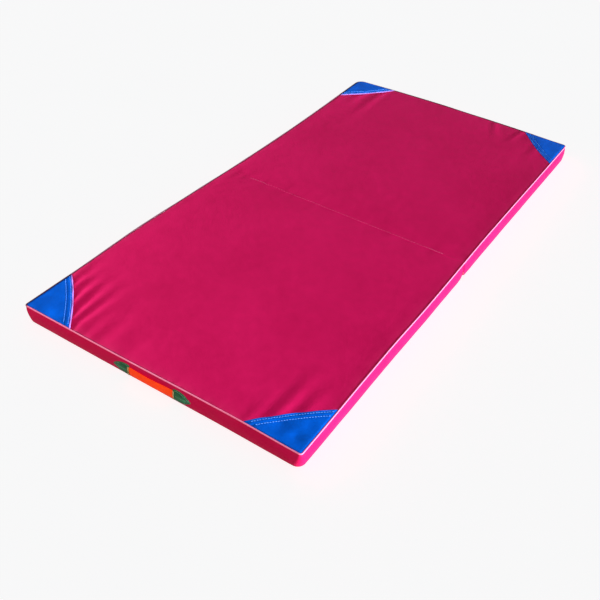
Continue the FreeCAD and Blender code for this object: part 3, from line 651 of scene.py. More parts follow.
# ------------------------------------------------------------------ materials
class Shader:
    """A material with one principled surface; its methods add nodes and return sockets."""

    def __init__(self, name, on_object=False):
        self.material = bpy.data.materials.new(name)
        self.material.use_nodes = True
        self.tree = self.material.node_tree
        self.tree.nodes.clear()
        output = self.node("ShaderNodeOutputMaterial")
        self.principled = self.node("ShaderNodeBsdfPrincipled")
        self.plug(output.inputs["Surface"], self.principled.outputs["BSDF"])
        if on_object:
            self.coords = self.node("ShaderNodeTexCoord").outputs["Object"]
        else:
            self.coords = self.node("ShaderNodeUVMap", uv_map="metric").outputs["UV"]

    def plug(self, socket, value):
        """Link a socket, or set a number, vector or colour."""
        if isinstance(value, bpy.types.NodeSocket):
            self.tree.links.new(value, socket)
        elif socket.type == "RGBA":
            socket.default_value = (*value, 1.0)
        else:
            socket.default_value = value

    def node(self, kind, inputs=None, **settings):
        node = self.tree.nodes.new(kind)
        for key, value in settings.items():
            setattr(node, key, value)
        for key, value in (inputs or {}).items():
            self.plug(node.inputs[key], value)
        return node

    def surface(self, inputs):
        for key, value in inputs.items():
            self.plug(self.principled.inputs[key], value)

    def math(self, operation, a, b=0.0, c=None, clamp=False):
        inputs = {0: a, 1: b}
        if c is not None:
            inputs[2] = c
        node = self.node("ShaderNodeMath", inputs, operation=operation, use_clamp=clamp)
        return node.outputs[0]

    def times_plus(self, a, factor, plus, clamp=False):
        return self.math("MULTIPLY_ADD", a, factor, plus, clamp)

    def times(self, a, factor, clamp=False):
        return self.math("MULTIPLY", a, factor, clamp=clamp)

    def mix(self, fac, a, b, blend="MIX"):
        inputs = {0: fac, 6: a, 7: b}
        node = self.node("ShaderNodeMix", inputs, data_type="RGBA", blend_type=blend)
        return node.outputs[2]

    def noise(self, scale, detail=3.0, rough=0.55, offset=None, coords=None):
        coords = coords or self.coords
        if offset:
            mapping = self.node("ShaderNodeMapping", {"Location": offset, "Vector": coords})
            coords = mapping.outputs["Vector"]
        return self.node("ShaderNodeTexNoise", {
            "Scale": scale, "Detail": detail, "Roughness": rough, "Vector": coords,
        }).outputs["Fac"]

    def axes(self):
        """The coordinates' separate x, y and z."""
        return self.node("ShaderNodeSeparateXYZ", {0: self.coords}).outputs

    def attribute(self, name):
        return self.node("ShaderNodeAttribute", attribute_name=name).outputs["Fac"]

    def painted_glow(self, colour, strength):
        """Painted glow: emission that makes the colour brighter than the light falling on it."""
        if strength:
            self.surface({"Emission Color": colour, "Emission Strength": strength})

    def relief(self, *layers):
        """Bumps laid one over another: (height, strength, distance) each."""
        normal = None
        for height, strength, distance in layers:
            inputs = {"Strength": strength, "Distance": distance, "Height": height}
            if normal:
                inputs["Normal"] = normal
            normal = self.node("ShaderNodeBump", inputs).outputs[0]
        self.surface({"Normal": normal})


def coated(name, light, dark, pitch=0.0012, rough=0.46, sheen=0.12, sheen_tint=(1, 0.6, 0.75),
           wear_tint=(0.9, 0.35, 0.45), weave_depth=0.5, grain_depth=0.5, spec=0.25,
           spec_tint=(1, 1, 1), blotch=3.0, painted_glow=0.0, rub=0.12):
    """Coated woven cover: weave and grain relief, blotchy colour, rubbed seams, painted shade in the weave's
    hollows and where the shade attribute is set, and an optional painted glow.
    """
    s = Shader(name)
    axes = s.axes()
    wobble = s.noise(scale=60.0, detail=1.0)

    def ripple(axis):
        shift = s.times(wobble, 1.5)
        return s.math("SINE", s.times_plus(axis, math.pi / pitch, shift))

    weave = s.times_plus(s.times(ripple(axes[0]), ripple(axes[1])), 0.5, 0.5)
    broad = s.noise(scale=blotch, detail=4.0, rough=0.6)
    mid = s.noise(scale=28.0, rough=0.6, offset=(3.1, 1.7, 0.4))
    fine = s.noise(scale=420.0, detail=4.0, rough=0.7, offset=(9.0, 4.0, 2.0))
    blend = s.times_plus(broad, 0.55, s.times_plus(mid, 0.25, s.times(fine, 0.20)))
    spread = s.node("ShaderNodeMapRange", {
        "From Min": 0.5 - 0.18, "From Max": 0.5 + 0.18, "Value": blend})
    colour = s.mix(spread.outputs[0], dark, light)
    # painted shade: the weave's hollows are a little darker
    weave_hollow_shade = s.times_plus(weave, 0.10, 0.93)
    grey = s.node("ShaderNodeCombineColor", {0: weave_hollow_shade, 1: weave_hollow_shade, 2: weave_hollow_shade})
    colour = s.mix(1.0, colour, grey.outputs[0], "MULTIPLY")
    patchy = s.times_plus(mid, 1.6, -0.35, clamp=True)
    worn = s.times(s.attribute("wear"), patchy, clamp=True)
    colour = s.mix(s.times(worn, rub), colour, wear_tint)
    # painted shade: darken towards a deep tone where the shade attribute is set
    painted_shade = s.times(s.attribute("shade"), 1.0, clamp=True)
    colour = s.mix(painted_shade, colour, tuple(0.16 * c for c in dark))
    roughness = s.times_plus(mid, 0.16, rough - 0.08)
    roughness = s.times_plus(weave, -0.06, roughness)
    s.surface({
        "Base Color": colour,
        "Roughness": s.times_plus(worn, 0.18, roughness, clamp=True),
        "Specular IOR Level": spec,
        "Specular Tint": spec_tint,
        "Sheen Weight": sheen,
        "Sheen Roughness": 0.45,
        "Sheen Tint": sheen_tint,
    })
    s.painted_glow(colour, painted_glow)
    s.relief((weave, weave_depth, 0.00025), (fine, grain_depth, 0.0006), (mid, 0.35, 0.002))
    return s.material


def webbing(name, light, dark, rib=0.0016, rough=0.6, sheen=0.3, depth=0.0005, spec=0.3,
            painted_glow=0.0):
    """Narrow woven tape: ribs across its run, chevron yarns, soft fuzz, and an optional painted glow."""
    s = Shader(name)
    run, wide = s.axes()[:2]
    zigzag = s.math("PINGPONG", wide, 0.004)
    ribs = s.math("SINE", s.times(s.times_plus(zigzag, 0.9, run), 2 * math.pi / rib))
    yarns = s.math("SINE", s.times(wide, 2 * math.pi / (rib * 1.25)))
    weave = s.times_plus(s.math("MAXIMUM", ribs, s.times(yarns, 0.8)), 0.5, 0.5)
    fuzz = s.noise(scale=900.0, detail=4.0, rough=0.7)
    blotch = s.noise(scale=45.0, rough=0.6)
    blend = s.times_plus(fuzz, 0.3, s.times(blotch, 0.35))
    colour = s.mix(s.times_plus(weave, 0.45, blend, clamp=True), dark, light)
    s.surface({
        "Base Color": colour,
        "Roughness": s.times_plus(fuzz, 0.2, rough - 0.1),
        "Specular IOR Level": spec,
        "Sheen Weight": sheen,
        "Sheen Tint": light,
    })
    s.painted_glow(colour, painted_glow)
    s.relief((weave, 0.8, depth), (fuzz, 0.4, 0.0003))
    return s.material


def twisted_thread(name, light, dark, rough=0.45, twist=0.0011, sheen=0.3):
    """Sewing thread with slanting strands."""
    s = Shader(name)
    axes = s.axes()
    slant = s.math("SINE", s.times(s.math("ADD", axes[0], axes[1]), 2 * math.pi / twist))
    slant = s.times_plus(slant, 0.5, 0.5)
    fuzz = s.noise(scale=700.0, rough=0.6)
    s.surface({
        "Base Color": s.mix(s.times_plus(slant, 0.6, s.times(fuzz, 0.5), clamp=True), dark, light),
        "Roughness": s.times_plus(fuzz, 0.25, rough - 0.1),
        "Sheen Weight": sheen,
    })
    s.relief((slant, 0.8, 0.0002))
    return s.material


def hide(name, light, dark, rough=0.5, spec=0.35):
    """Soft leather: pebbled cells, lighter where the wear attribute is high: real wear, and on the leaves also
    a painted highlight along the middle.
    """
    s = Shader(name)
    pebbles = s.node("ShaderNodeTexVoronoi", {
        "Scale": 650.0, "Randomness": 0.9, "Vector": s.coords}, feature="DISTANCE_TO_EDGE")
    cell = s.times(pebbles.outputs["Distance"], 2.2, clamp=True)
    blotch = s.noise(scale=70.0, detail=4.0, rough=0.65)
    fine = s.noise(scale=900.0, rough=0.6)
    blend = s.times_plus(blotch, 0.7, s.times(cell, 0.25))
    blend = s.times_plus(s.attribute("wear"), 0.75, s.times(blend, 0.55), clamp=True)
    s.surface({
        "Base Color": s.mix(blend, dark, light),
        "Roughness": s.times_plus(cell, -0.12, rough + 0.06),
        "Specular IOR Level": spec,
        "Sheen Weight": 0.04,
    })
    s.relief((cell, 0.7, 0.0003), (fine, 0.35, 0.0002))
    return s.material


def scuffed_metal(name, light, dark):
    """Brushed zip hardware, brighter on its edges."""
    s = Shader(name, on_object=True)
    stretched = s.node("ShaderNodeMapping", {"Scale": (1.0, 6.0, 6.0), "Vector": s.coords})
    brushed = s.noise(scale=500.0, rough=0.7, coords=stretched.outputs["Vector"])
    scuffs = s.noise(scale=260.0, detail=4.0, rough=0.7)
    pointiness = s.node("ShaderNodeNewGeometry").outputs["Pointiness"]
    edge = s.times_plus(pointiness, 6.0, -2.9, clamp=True)
    s.surface({
        "Base Color": s.mix(s.times_plus(scuffs, 0.7, s.times(edge, 0.5), clamp=True), dark, light),
        "Metallic": 1.0,
        "Roughness": s.times_plus(brushed, 0.25, 0.22),
    })
    s.relief((brushed, 0.3, 0.0001))
    return s.material


def open_foam(name, light, dark):
    """Open-cell foam block."""
    s = Shader(name, on_object=True)
    cells = s.node("ShaderNodeTexVoronoi", {"Scale": 420.0, "Vector": s.coords})
    cell = cells.outputs["Distance"]
    blotch = s.noise(scale=9.0, rough=0.6)
    s.surface({
        "Base Color": s.mix(s.times_plus(cell, 0.6, s.times(blotch, 0.5), clamp=True), dark, light),
        "Roughness": 0.9,
    })
    s.relief((cell, 0.9, 0.0008))
    return s.material


def studio_floor(name):
    """Matt pale floor, brighter to the camera than to the mat."""
    s = Shader(name, on_object=True)
    colour = s.mix(s.noise(scale=2.0), (0.46, 0.46, 0.465), (0.50, 0.50, 0.50))
    seen = s.node("ShaderNodeLightPath").outputs["Is Camera Ray"]
    s.surface({
        "Base Color": colour,
        "Roughness": 0.9,
        "Specular IOR Level": 0.0,
        "Emission Color": (1.0, 1.0, 1.0),
        "Emission Strength": s.times_plus(seen, 0.40, 0.46),
    })
    return s.material


PINK_TINTS = {"sheen_tint": (1.0, 0.10, 0.42), "spec_tint": (1.0, 0.10, 0.42)}
# The top and the walls are one fabric: the top's colour is bluer and the walls' redder, painted light standing
# in for the cool light on the top and the warm shade on the end walls.
TOP_CLOTH = coated("top_cloth", light=(0.80, 0.0085, 0.108), dark=(0.64, 0.0050, 0.078),
                   sheen=0.02, spec=0.10, rub=0.06, **PINK_TINTS)
WALL_CLOTH = coated("wall_cloth", light=(0.80, 0.0088, 0.086), dark=(0.66, 0.0054, 0.058),
                    rough=0.50, sheen=0.0, spec=0.025, **PINK_TINTS)
BASE_CLOTH = coated("base_cloth", light=(0.52, 0.0060, 0.060), dark=(0.38, 0.0040, 0.042),
                    pitch=0.0030, rough=0.62, sheen=0.02, spec=0.12,
                    weave_depth=1.0, grain_depth=0.8, **PINK_TINTS)
PATCH_VINYL = coated("patch_vinyl", light=(0.0006, 0.143, 0.780), dark=(0.0003, 0.075, 0.440),
                     pitch=0.0009, rough=0.40, sheen=0.02, sheen_tint=(0.02, 0.4, 1.0),
                     wear_tint=(0.06, 0.30, 0.9), spec_tint=(0.03, 0.4, 1.0),
                     weave_depth=0.35, blotch=14.0)
CLOTH_BACK = coated("cloth_back", light=(0.78, 0.52, 0.56), dark=(0.66, 0.38, 0.43),
                    rough=0.75, sheen=0.2, spec=0.1)
# painted highlight: the pale colour of the left patches' lit long edge
PATCH_EDGE_HIGHLIGHT = coated("patch_edge_highlight", light=(0.50, 0.22, 0.66), dark=(0.38, 0.15, 0.52),
                    pitch=0.0008, rough=0.6, sheen=0.1, spec=0.2)
# the piping and the strap carry a painted glow: emission that brightens them beyond their lighting
PIPING_VINYL = coated("piping_vinyl", light=(1.0, 0.25, 0.38), dark=(0.95, 0.18, 0.31),
                      pitch=0.0016, rough=0.42, sheen=0.05, spec=0.3, spec_tint=(1, 0.6, 0.8),
                      wear_tint=(0.95, 0.7, 0.8), weave_depth=0.3, grain_depth=0.3, painted_glow=0.16)
STRAP_WEBBING = webbing("strap_webbing", light=(1.0, 0.070, 0.006), dark=(0.90, 0.030, 0.003),
                        sheen=0.05, spec=0.1, painted_glow=0.40)
ZIP_TAPE = webbing("zip_tape_weave", light=(0.62, 0.010, 0.060), dark=(0.36, 0.004, 0.030),
                   rib=0.0011, depth=0.0003, rough=0.7)
ZIP_COIL = twisted_thread("zip_coil_nylon", light=(0.50, 0.012, 0.055),
                          dark=(0.34, 0.006, 0.036), rough=0.35, twist=0.0016, sheen=0.05)
LEAF_HIDE = hide("leaf_hide", light=(0.055, 0.290, 0.110), dark=(0.0030, 0.055, 0.016),
                 spec=0.12)
LEAF_THREAD = twisted_thread("leaf_thread", light=(0.34, 0.46, 0.34), dark=(0.16, 0.26, 0.17),
                             sheen=0.1)
TACK_THREAD = twisted_thread("tack_thread", light=(0.66, 0.40, 0.14), dark=(0.44, 0.24, 0.07),
                             sheen=0.05)
PATCH_THREAD = twisted_thread("patch_thread", light=(0.14, 0.42, 0.95), dark=(0.06, 0.25, 0.80))
FOLD_THREAD = twisted_thread("fold_thread", light=(0.92, 0.085, 0.25), dark=(0.72, 0.030, 0.14),
                             sheen=0.05)
SEAM_THREAD = twisted_thread("seam_thread", light=(0.66, 0.02, 0.10), dark=(0.48, 0.01, 0.06))
ZIP_METAL = scuffed_metal("zip_metal", light=(0.62, 0.60, 0.57), dark=(0.32, 0.30, 0.28))
FOAM = open_foam("foam_block", light=(0.86, 0.80, 0.58), dark=(0.62, 0.55, 0.30))

# ------------------------------------------------------------------ top sheet
TOP_XS = grid_lines(TOP_X)
fold_ys = np.array([0.0, 0.001, 0.002, 0.003, 0.004, 0.005, 0.006, 0.007, 0.0085, 0.0105,
                    0.013, 0.017, 0.022])
panel_ys = grid_lines(TOP_Y)
panel_ys = panel_ys[panel_ys < -0.0265]
TOP_YS = np.concatenate([panel_ys, -fold_ys[::-1], fold_ys[1:], -panel_ys[::-1]])


def build_top_sheet():
    """One cloth over both panels."""
    gx, gy = np.meshgrid(TOP_XS, TOP_YS, indexing="ij")
    radius = seam_radius(gx, gy) - CORD_INSET
    x, y = round_corner(gx, gy, TOP_X, TOP_Y, radius)
    outer = warp(np.stack([x, y, top_height(x, y)], -1))
    inner = inner_face(outer, (len(TOP_XS) // 2, len(TOP_YS) // 4), (0, 0, 1))
    edge = inset(x, y, TOP_X, TOP_Y, radius)
    wear = np.clip(np.exp(-edge / 0.012), 0, 1)
    # painted shade beside the cord, strongest on the left and gone at the right edge
    painted_shade = 0.75 - 0.25 * np.clip(2 * x / TOP_X, -1, 1)
    painted_shade = painted_shade * hill(np.maximum(edge, 0), 0.0022) * (1 - smooth((x - 0.470) / 0.02))
    # the underside of the fold is faced with the walls' cloth
    facing = np.abs(0.5 * (TOP_YS[:-1] + TOP_YS[1:])) < 0.0155
    obj = shell("top_sheet", outer, inner, (x, y), [TOP_CLOTH, CLOTH_BACK, WALL_CLOTH],
                inner_mat=np.tile(np.where(facing, 2, 1), len(TOP_XS) - 1),
                wear=wear, shade=painted_shade)
    hand_over(obj, "cover_top", None, "top_sheet_near", "top_sheet_far", "fold_web")


# ------------------------------------------------------------------ outer walls and bases
def fold_round(x, sy):
    """Radius of the panel's lower edge beside the fold: full at the outer corners."""
    full = 0.026 if sy < 0 else 0.014
    return 0.005 + (full - 0.005) * smooth((np.abs(x) - 0.43) / 0.07)


def turned_in(z):
    """How far the wall turns in: rounded at the floor and tucked under the cord."""
    return roll(z, FOOT_Z, FOOT_X) + 0.0010 * smooth((z - (WALL_TOP - 0.006)) / 0.006)


def bulge(along, z, sy):
    """How far the wall's cloth stands out between its seams."""
    t = np.clip(z / WALL_TOP, 0, 1)
    shift = 1 + sy
    waves = (0.0011 * noise_a(along + 5.0 * shift, z * 0.6, 0.11)
             + 0.0006 * noise_b(along + 3.0 * shift, z, 0.045))
    return 0.0016 * np.sin(math.pi * t) ** 0.9 + np.sin(math.pi * t) * waves


def wall_surface(along, up, sy):
    """Near-panel points of an outer wall: along its U from the left end at the fold, and up."""
    second = WALL_SIDE + 2 * HALF_X          # the U's second corner
    on_left = along < WALL_SIDE
    on_end = (along >= WALL_SIDE) & (along < second)
    x = np.where(on_left, -HALF_X, np.where(on_end, -HALF_X + (along - WALL_SIDE), HALF_X))
    y = np.where(on_left, -GAP - along, np.where(on_end, -HALF_Y, -HALF_Y + (along - second)))
    out_x = np.where(on_left, -1.0, np.where(on_end, 0.0, 1.0))
    out_y = np.where(on_end, -1.0, 0.0)
    # vertical corners are tight at the piping and fuller at the floor
    radius = FOOT_FULLER * (1 - smooth(np.clip(up / WALL_TOP, 0, 1)) ** 0.8)
    radius = seam_radius(x, y * -sy) + radius
    x, y = round_corner(x, y, HALF_X, HALF_Y, radius)
    # the outward direction turns with the corner
    turn_x = np.clip((np.abs(x) - (HALF_X - radius)) / radius, 0, 1)
    turn_y = np.clip((np.abs(y) - (HALF_Y - radius)) / radius, 0, 1)
    corner = (turn_x > 0) & (turn_y > 0)
    length = np.maximum(np.hypot(turn_x, turn_y), 1e-9)
    out_x = np.where(corner, np.sign(x) * turn_x / length, out_x)
    out_y = np.where(corner, -turn_y / length, out_y)
    # calmer at the corners and beside the fold
    to_corner = np.minimum(np.abs(along - WALL_SIDE), np.abs(along - second))
    calm = 1 - 0.75 * hill(to_corner, 0.035)
    calm = calm * smooth(np.minimum(along, WALL_LENGTH - along) / 0.05)
    out = bulge(along, up, sy) * calm + CLOTH_RISE[sy](along, up) - turned_in(up)
    x, y = x + out_x * out, y + out_y * out
    # the lower corner beside the fold is round
    back = -GAP - y
    fold_r = fold_round(x, sy)
    u, v = np.clip(1 - back / fold_r, 0, 1), np.clip(1 - up / fold_r, 0, 1)
    rounded = (u > 0) & (v > 0)
    new_back = np.where(rounded, fold_r * (1 - u * np.sqrt(1 - v * v / 2)), back)
    z = np.where(rounded, fold_r * (1 - v * np.sqrt(1 - u * u / 2)), up)
    # higher up the padded edges meet across the slit, and the wall turns in to the inner wall
    lip = FOLD_LIP[sy] * smooth((up - 0.012) / 0.03) * np.clip(1 - back / 0.012, 0, 1)
    x = x - np.sign(x) * np.where(np.abs(x) > 0.4, roll(back, 0.006, 0.0042), 0)
    return np.stack([x, -GAP - new_back + lip, z], -1)


def wall_stations():
    """Grid stations along the U, close together at the fold and corners."""
    ends = np.array([0, 0.0008, 0.0018, 0.003, 0.0045, 0.0065, 0.009, 0.012, 0.016, 0.021,
                     0.027])
    corner = np.array([0, 0.0035, 0.007, 0.0105, 0.014, 0.018, 0.022, 0.0265, 0.031, 0.036,
                       0.042])
    side_count = int(round((WALL_SIDE - ends[-1] - corner[-1]) / 0.0062))
    end_count = int(round((2 * HALF_X - 2 * corner[-1]) / 0.0062))
    start = np.concatenate([
        ends, np.linspace(ends[-1], WALL_SIDE - corner[-1], side_count + 1)[1:-1],
        WALL_SIDE - corner[::-1], WALL_SIDE + corner[1:-1]])
    middle = np.linspace(WALL_SIDE + corner[-1], WALL_SIDE + 2 * HALF_X - corner[-1],
                         end_count + 1)
    return np.concatenate([start, middle, WALL_LENGTH - start[::-1]])


def build_wall(sy, tag):
    along = wall_stations()
    angle = np.linspace(0.42, math.pi / 2, 9)
    up = np.concatenate([FOOT_Z * (1 - np.cos(angle)),
                         np.linspace(FOOT_Z, WALL_TOP - 0.006, 11)[1:],
                         WALL_TOP - np.array([0.0045, 0.003, 0.0015, 0.0])])
    gs, gz = np.meshgrid(along, up, indexing="ij")
    outer = warp(wall_surface(gs, gz, sy) * mirror(sy))
    inner = inner_face(outer, (len(along) // 2, 12), (0, sy, 0))
    inner[..., 2] = np.maximum(inner[..., 2], 0.0009)
    wear = np.exp(-gz / 0.010) * 0.9 + np.exp(-(WALL_TOP - gz) / 0.004) * 0.5
    obj = shell(f"wall_band_{tag}_cover", outer, inner, (gs + 3 * sy, gz),
                [WALL_CLOTH, CLOTH_BACK], wear=np.clip(wear, 0, 1))
    hand_over(obj, "cover_wall", tag, f"wall_band_{tag}")


def build_base(sy, tag):
    margin = 0.0036                 # from the mat's outline in to the base's edge
    ends = (0, 0.0008, 0.0018, 0.003, 0.0045, 0.0065, 0.009, 0.0125, 0.017, 0.022, 0.029, 0.038)
    at_fold = np.array([0.036, 0.030, 0.025, 0.020, 0.016, 0.0125, 0.0095, 0.007, 0.005,
                        0.0035, 0.0022, 0.0012, 0.0005, 0.0])
    half_x, half_y = HALF_X - margin, HALF_Y - margin
    xs = grid_lines(half_x, ends, step=0.0125)
    ys = grid_lines(half_y, ends, step=0.0125)
    ys = np.concatenate([ys[ys < -0.05], -GAP - at_fold])
    gx, gy = np.meshgrid(xs, ys, indexing="ij")
    radius = seam_radius(gx, gy * -sy) + FOOT_FULLER
    x, y = round_corner(gx, gy, half_x, half_y, radius - margin)
    edge = inset(x, np.minimum(y, -0.1), HALF_X, HALF_Y, radius)
    back = -GAP - y
    fold_r = fold_round(x, sy)
    z = roll(edge, FOOT_X, FOOT_Z) + roll(back, fold_r, fold_r)
    soft = smooth(edge / 0.05) * smooth(back / 0.05)
    z = z + soft * (0.0004 + 0.0004 * noise_a(x, y + 4.0 * sy, 0.14))
    outer = warp(np.stack([x, y, np.maximum(z, 0.0)], -1) * mirror(sy))
    inner = inner_face(outer, (len(xs) // 2, len(ys) // 2), (0, 0, -1))
    wear = np.clip(np.exp(-np.minimum(edge, back) / 0.02), 0, 1)
    obj = shell(f"base_sheet_{tag}_cover", outer, inner, (x, y + 4 * sy),
                [BASE_CLOTH, CLOTH_BACK], wear=wear)
    hand_over(obj, "cover_base", tag, f"base_sheet_{tag}")


# ------------------------------------------------------------------ inner walls
def build_inner_wall(sy, tag):
    """The wall at the fold, with the slot the zip closes, and the seam round the zip."""
    half = HALF_X - 0.0052
    ends = np.array([0, 0.0012, 0.0026])
    xs = np.concatenate([-half + ends, np.linspace(-ZIP_X, ZIP_X, 170), half - ends[::-1]])
    zs = np.array([0.0012, 0.003, 0.005, 0.0075, 0.0105, 0.014, 0.0175, 0.0205, 0.0225, 0.0240,
                   ZIP_Z - SLOT_H, ZIP_Z + SLOT_H,
                   0.0410, 0.0425, 0.0445, 0.0475, 0.051, 0.0545, 0.058, 0.0605, 0.0622])
    gx, gz = np.meshgrid(xs, zs, indexing="ij")
    # past the zip the grid stretches to meet the outer wall
    reach = HALF_X - 0.0043 - turned_in(gz)
    stretched = ZIP_X + (np.abs(gx) - ZIP_X) * (reach - ZIP_X) / (half - ZIP_X)
    gx = np.where(np.abs(gx) > ZIP_X, np.sign(gx) * stretched, gx)
    from_zip = np.abs(gz - ZIP_Z)
    hem = hill(from_zip - SLOT_H - 0.0012, 0.0016)
    out = 0.0005 * hem * smooth((0.4905 - np.abs(gx)) / 0.004)
    ripple = 0.0007 * noise_b(gx, gz + sy, 0.06)
    ripple = ripple * np.clip(np.minimum(gz - 0.004, 0.060 - gz) / 0.015, 0, 1)
    out = out + ripple * smooth((from_zip - 0.009) / 0.006)
    out = out + 0.0018 * smooth((gz - 0.045) / 0.012) * (1 - smooth((gz - 0.057) / 0.006))
    fold_r = fold_round(gx, sy)
    outer = np.stack([gx, -GAP - roll(gz, fold_r, fold_r) + out, gz], -1)
    inner = inner_face(outer, (80, 6), (0, 1, 0))
    cell_x = 0.5 * (gx[:-1, :-1] + gx[1:, 1:])
    cell_z = 0.5 * (gz[:-1, :-1] + gz[1:, 1:])
    slot = (np.abs(cell_z - ZIP_Z) < SLOT_H * 0.9) & (np.abs(cell_x) < ZIP_X)
    wear = 0.8 * np.exp(-np.minimum(gz, 0.063 - gz) / 0.004) + 0.5 * hem
    obj = shell(f"inner_wall_{tag}_cover", outer * mirror(sy), inner * mirror(sy),
                (gx, gz + 8 * sy), [WALL_CLOTH, CLOTH_BACK], keep=~slot,
                wear=np.clip(wear, 0, 1))
    hand_over(obj, "cover_wall", tag, f"inner_wall_{tag}")

    x = np.arange(-0.486, 0.484, 0.0050)
    rows = [threads_along_x(x, -GAP + 0.0004, z, 0.0036, 0.00035, sy)
            for z in (ZIP_Z - SLOT_H - 0.0035, ZIP_Z + SLOT_H + 0.0035)]
    hand_over(threads_object(f"zip_seam_{tag}", rows, SEAM_THREAD), "cover_wall", tag)


# ------------------------------------------------------------------ foam
def build_foam(sy, tag):
    ends = np.array([0, 0.001, 0.0025, 0.0045, 0.007, 0.010, 0.014, 0.019, 0.026, 0.036])
    half_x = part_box(f"foam_core_{tag}")[1].x - 0.0012
    half_y = HALF_Y - 0.0022
    fold_y = -GAP - 0.0024
    xs = grid_lines(half_x, ends, step=0.02)
    ys = np.concatenate([-half_y + ends, np.linspace(-half_y + 0.036, fold_y - 0.026, 46)[1:],
                         fold_y - ends[:-2][::-1]])
    gx, gy = np.meshgrid(xs, ys, indexing="ij")
    radius = seam_radius(gx, gy * -sy) + FOOT_FULLER + 0.003
    x, y = round_corner(gx, gy, half_x, half_y, radius)
    real_y = -sy * y
    edge = inset(x, np.minimum(y, -0.1), half_x, half_y, radius)
    # room for the puckers: the foam keeps under their lowest point within one of its cells
    around = np.linspace(-0.021, 0.021, 9)
    low = np.min([pucker(x + dx, real_y + dy) for dx in around for dy in around], axis=0)
    top = top_height(x, real_y) - pucker(x, real_y) + low
    top = top - 0.0022 - 0.0045 * (1 - smooth(edge / 0.016))
    fold_r = fold_round(x, sy) + 0.001
    foot = 0.0022 + roll(edge, 0.011, 0.013) + roll(fold_y - y, fold_r, fold_r)
    top = np.maximum(np.minimum(top, 0.0632), foot + 0.012)
    outer, inner = (warp(np.stack([x, real_y, z], -1)) for z in (top, foot))
    obj = shell(f"foam_core_{tag}_block", outer, inner, (x, y), [FOAM], inner_mat=0, rim_mat=0)
    hand_over(obj, "foam", tag, f"foam_core_{tag}")


# ------------------------------------------------------------------ piping
def build_piping():
    """One cord round the whole top seam."""
    ends = np.array([0, 0.002, 0.004, 0.006, 0.008, 0.0105, 0.0135, 0.017, 0.022, 0.029,
                     0.038, 0.048])
    xs = grid_lines(CORD_X, step=0.0085)
    ys = TOP_YS[np.abs(TOP_YS) < CORD_Y - 0.05]
    ys = np.concatenate([-CORD_Y + ends, ys, (CORD_Y - ends)[::-1]])
    near, far = (np.stack([xs, np.full_like(xs, s * CORD_Y)], 1) for s in (-1, 1))
    left, right = (np.stack([np.full_like(ys, s * CORD_X), ys], 1) for s in (-1, 1))
    x, y = np.concatenate([near, right[1:], far[::-1][1:], left[::-1][1:-1]]).T
    x, y = round_corner(x, y, CORD_X, CORD_Y, seam_radius(x, y))
    s = arc_length(x, y)
    z = CORD_Z + 0.0005 * noise_a(s, 0 * s, 0.12) * (1 - np.exp(-np.abs(y) / 0.02))
    path = warp(np.stack([x, y, z], -1))
    radius = CORD * CORD_TIGHT * (0.98 + 0.03 * noise_c(s, 0 * s, 0.02))

    sides = 14
    tangent = np.roll(path, -1, 0) - np.roll(path, 1, 0)
    tangent /= np.linalg.norm(tangent, axis=1, keepdims=True)
    side = np.cross(tangent, (0.0, 0.0, 1.0))
    side /= np.maximum(np.linalg.norm(side, axis=1, keepdims=True), 1e-9)
    up = np.cross(side, tangent)
    angle = np.linspace(0, 2 * math.pi, sides, endpoint=False)
    ring = side[:, None] * np.cos(angle)[:, None] + up[:, None] * np.sin(angle)[:, None]
    verts = path[:, None] + ring * radius[:, None, None]
    quads = ring_quads(len(path), sides, closed=True)
    if volume(verts.reshape(-1, 3), quads) < 0:
        quads = quads[:, ::-1]
    uv = np.stack([np.repeat(arc_length(*path.T), sides), np.tile(angle * CORD, len(path))], 1)

    # painted shade on the inner side of the cord along the left and the far seam, where the top sheet keeps
    # light off it
    outward = np.float32(verts) - path[:, None]
    outward /= np.maximum(np.linalg.norm(outward, axis=-1, keepdims=True), 1e-9)
    on_left, on_far = smooth((-x - 0.484) / 0.012), smooth((y - 0.986) / 0.012)
    shaded_run = np.maximum(on_left, on_far)
    way = np.stack([on_left, -on_far, 1.1 * shaded_run], -1)
    way /= np.maximum(np.linalg.norm(way, axis=-1, keepdims=True), 1e-9)
    painted_shade = shaded_run[:, None] * smooth(0.55 + 0.9 * (outward * way[:, None]).sum(-1))
    obj = add_object("piping", verts.reshape(-1, 3), quads, [PIPING_VINYL], uv, sharp=60.0,
                     fields={"shade": painted_shade.reshape(-1)})
    hand_over(obj, "piping", None, "piping_near", "piping_far")


# ------------------------------------------------------------------ corner patches
PATCH_T = 0.0016                    # patch thickness
PATCH_ROWS = (0.007, 0.020)         # stitch rows: depth in from the long edge


def patch_xy(legs, t, sx, sy):
    """Patch point from its two distances in from the edges, summed, and -1..1 across."""
    radius = SEAM_RADIUS[sx, sy] - CORD_INSET
    at_corner = np.sqrt(np.maximum(radius * radius / 2 - (radius - legs / 2) ** 2, 0))
    half = np.where(legs >= radius, legs / 2, at_corner)
    bow = PATCH_BOW * (1 - t * t) * np.clip(legs / PATCH_LEG, 0, 1) ** 1.5 / math.sqrt(2)
    return sx * (TOP_X - (legs / 2 + half * t + bow)), sy * (TOP_Y - (legs / 2 - half * t + bow))


def patch_top(x, y, sx, sy):
    """Upper face of a patch: held down by its two seams, a little proud elsewhere."""
    depth = patch_depth(x, y, sx, sy)
    edge = np.clip(depth / 0.0012, 0, 1)
    h = PATCH_T * np.sqrt(np.maximum(1 - (1 - edge) ** 2, 0)) * 0.75 + PATCH_T * 0.25
    for row in PATCH_ROWS:
        h = h - 0.00055 * bell(depth - row, 0.0013)
    h = h + 0.00025 * bell(depth - 0.0135, 0.0035) + 0.0002 * smooth((depth - 0.022) / 0.01)
    return top_height(x, y) + 0.0001 + h


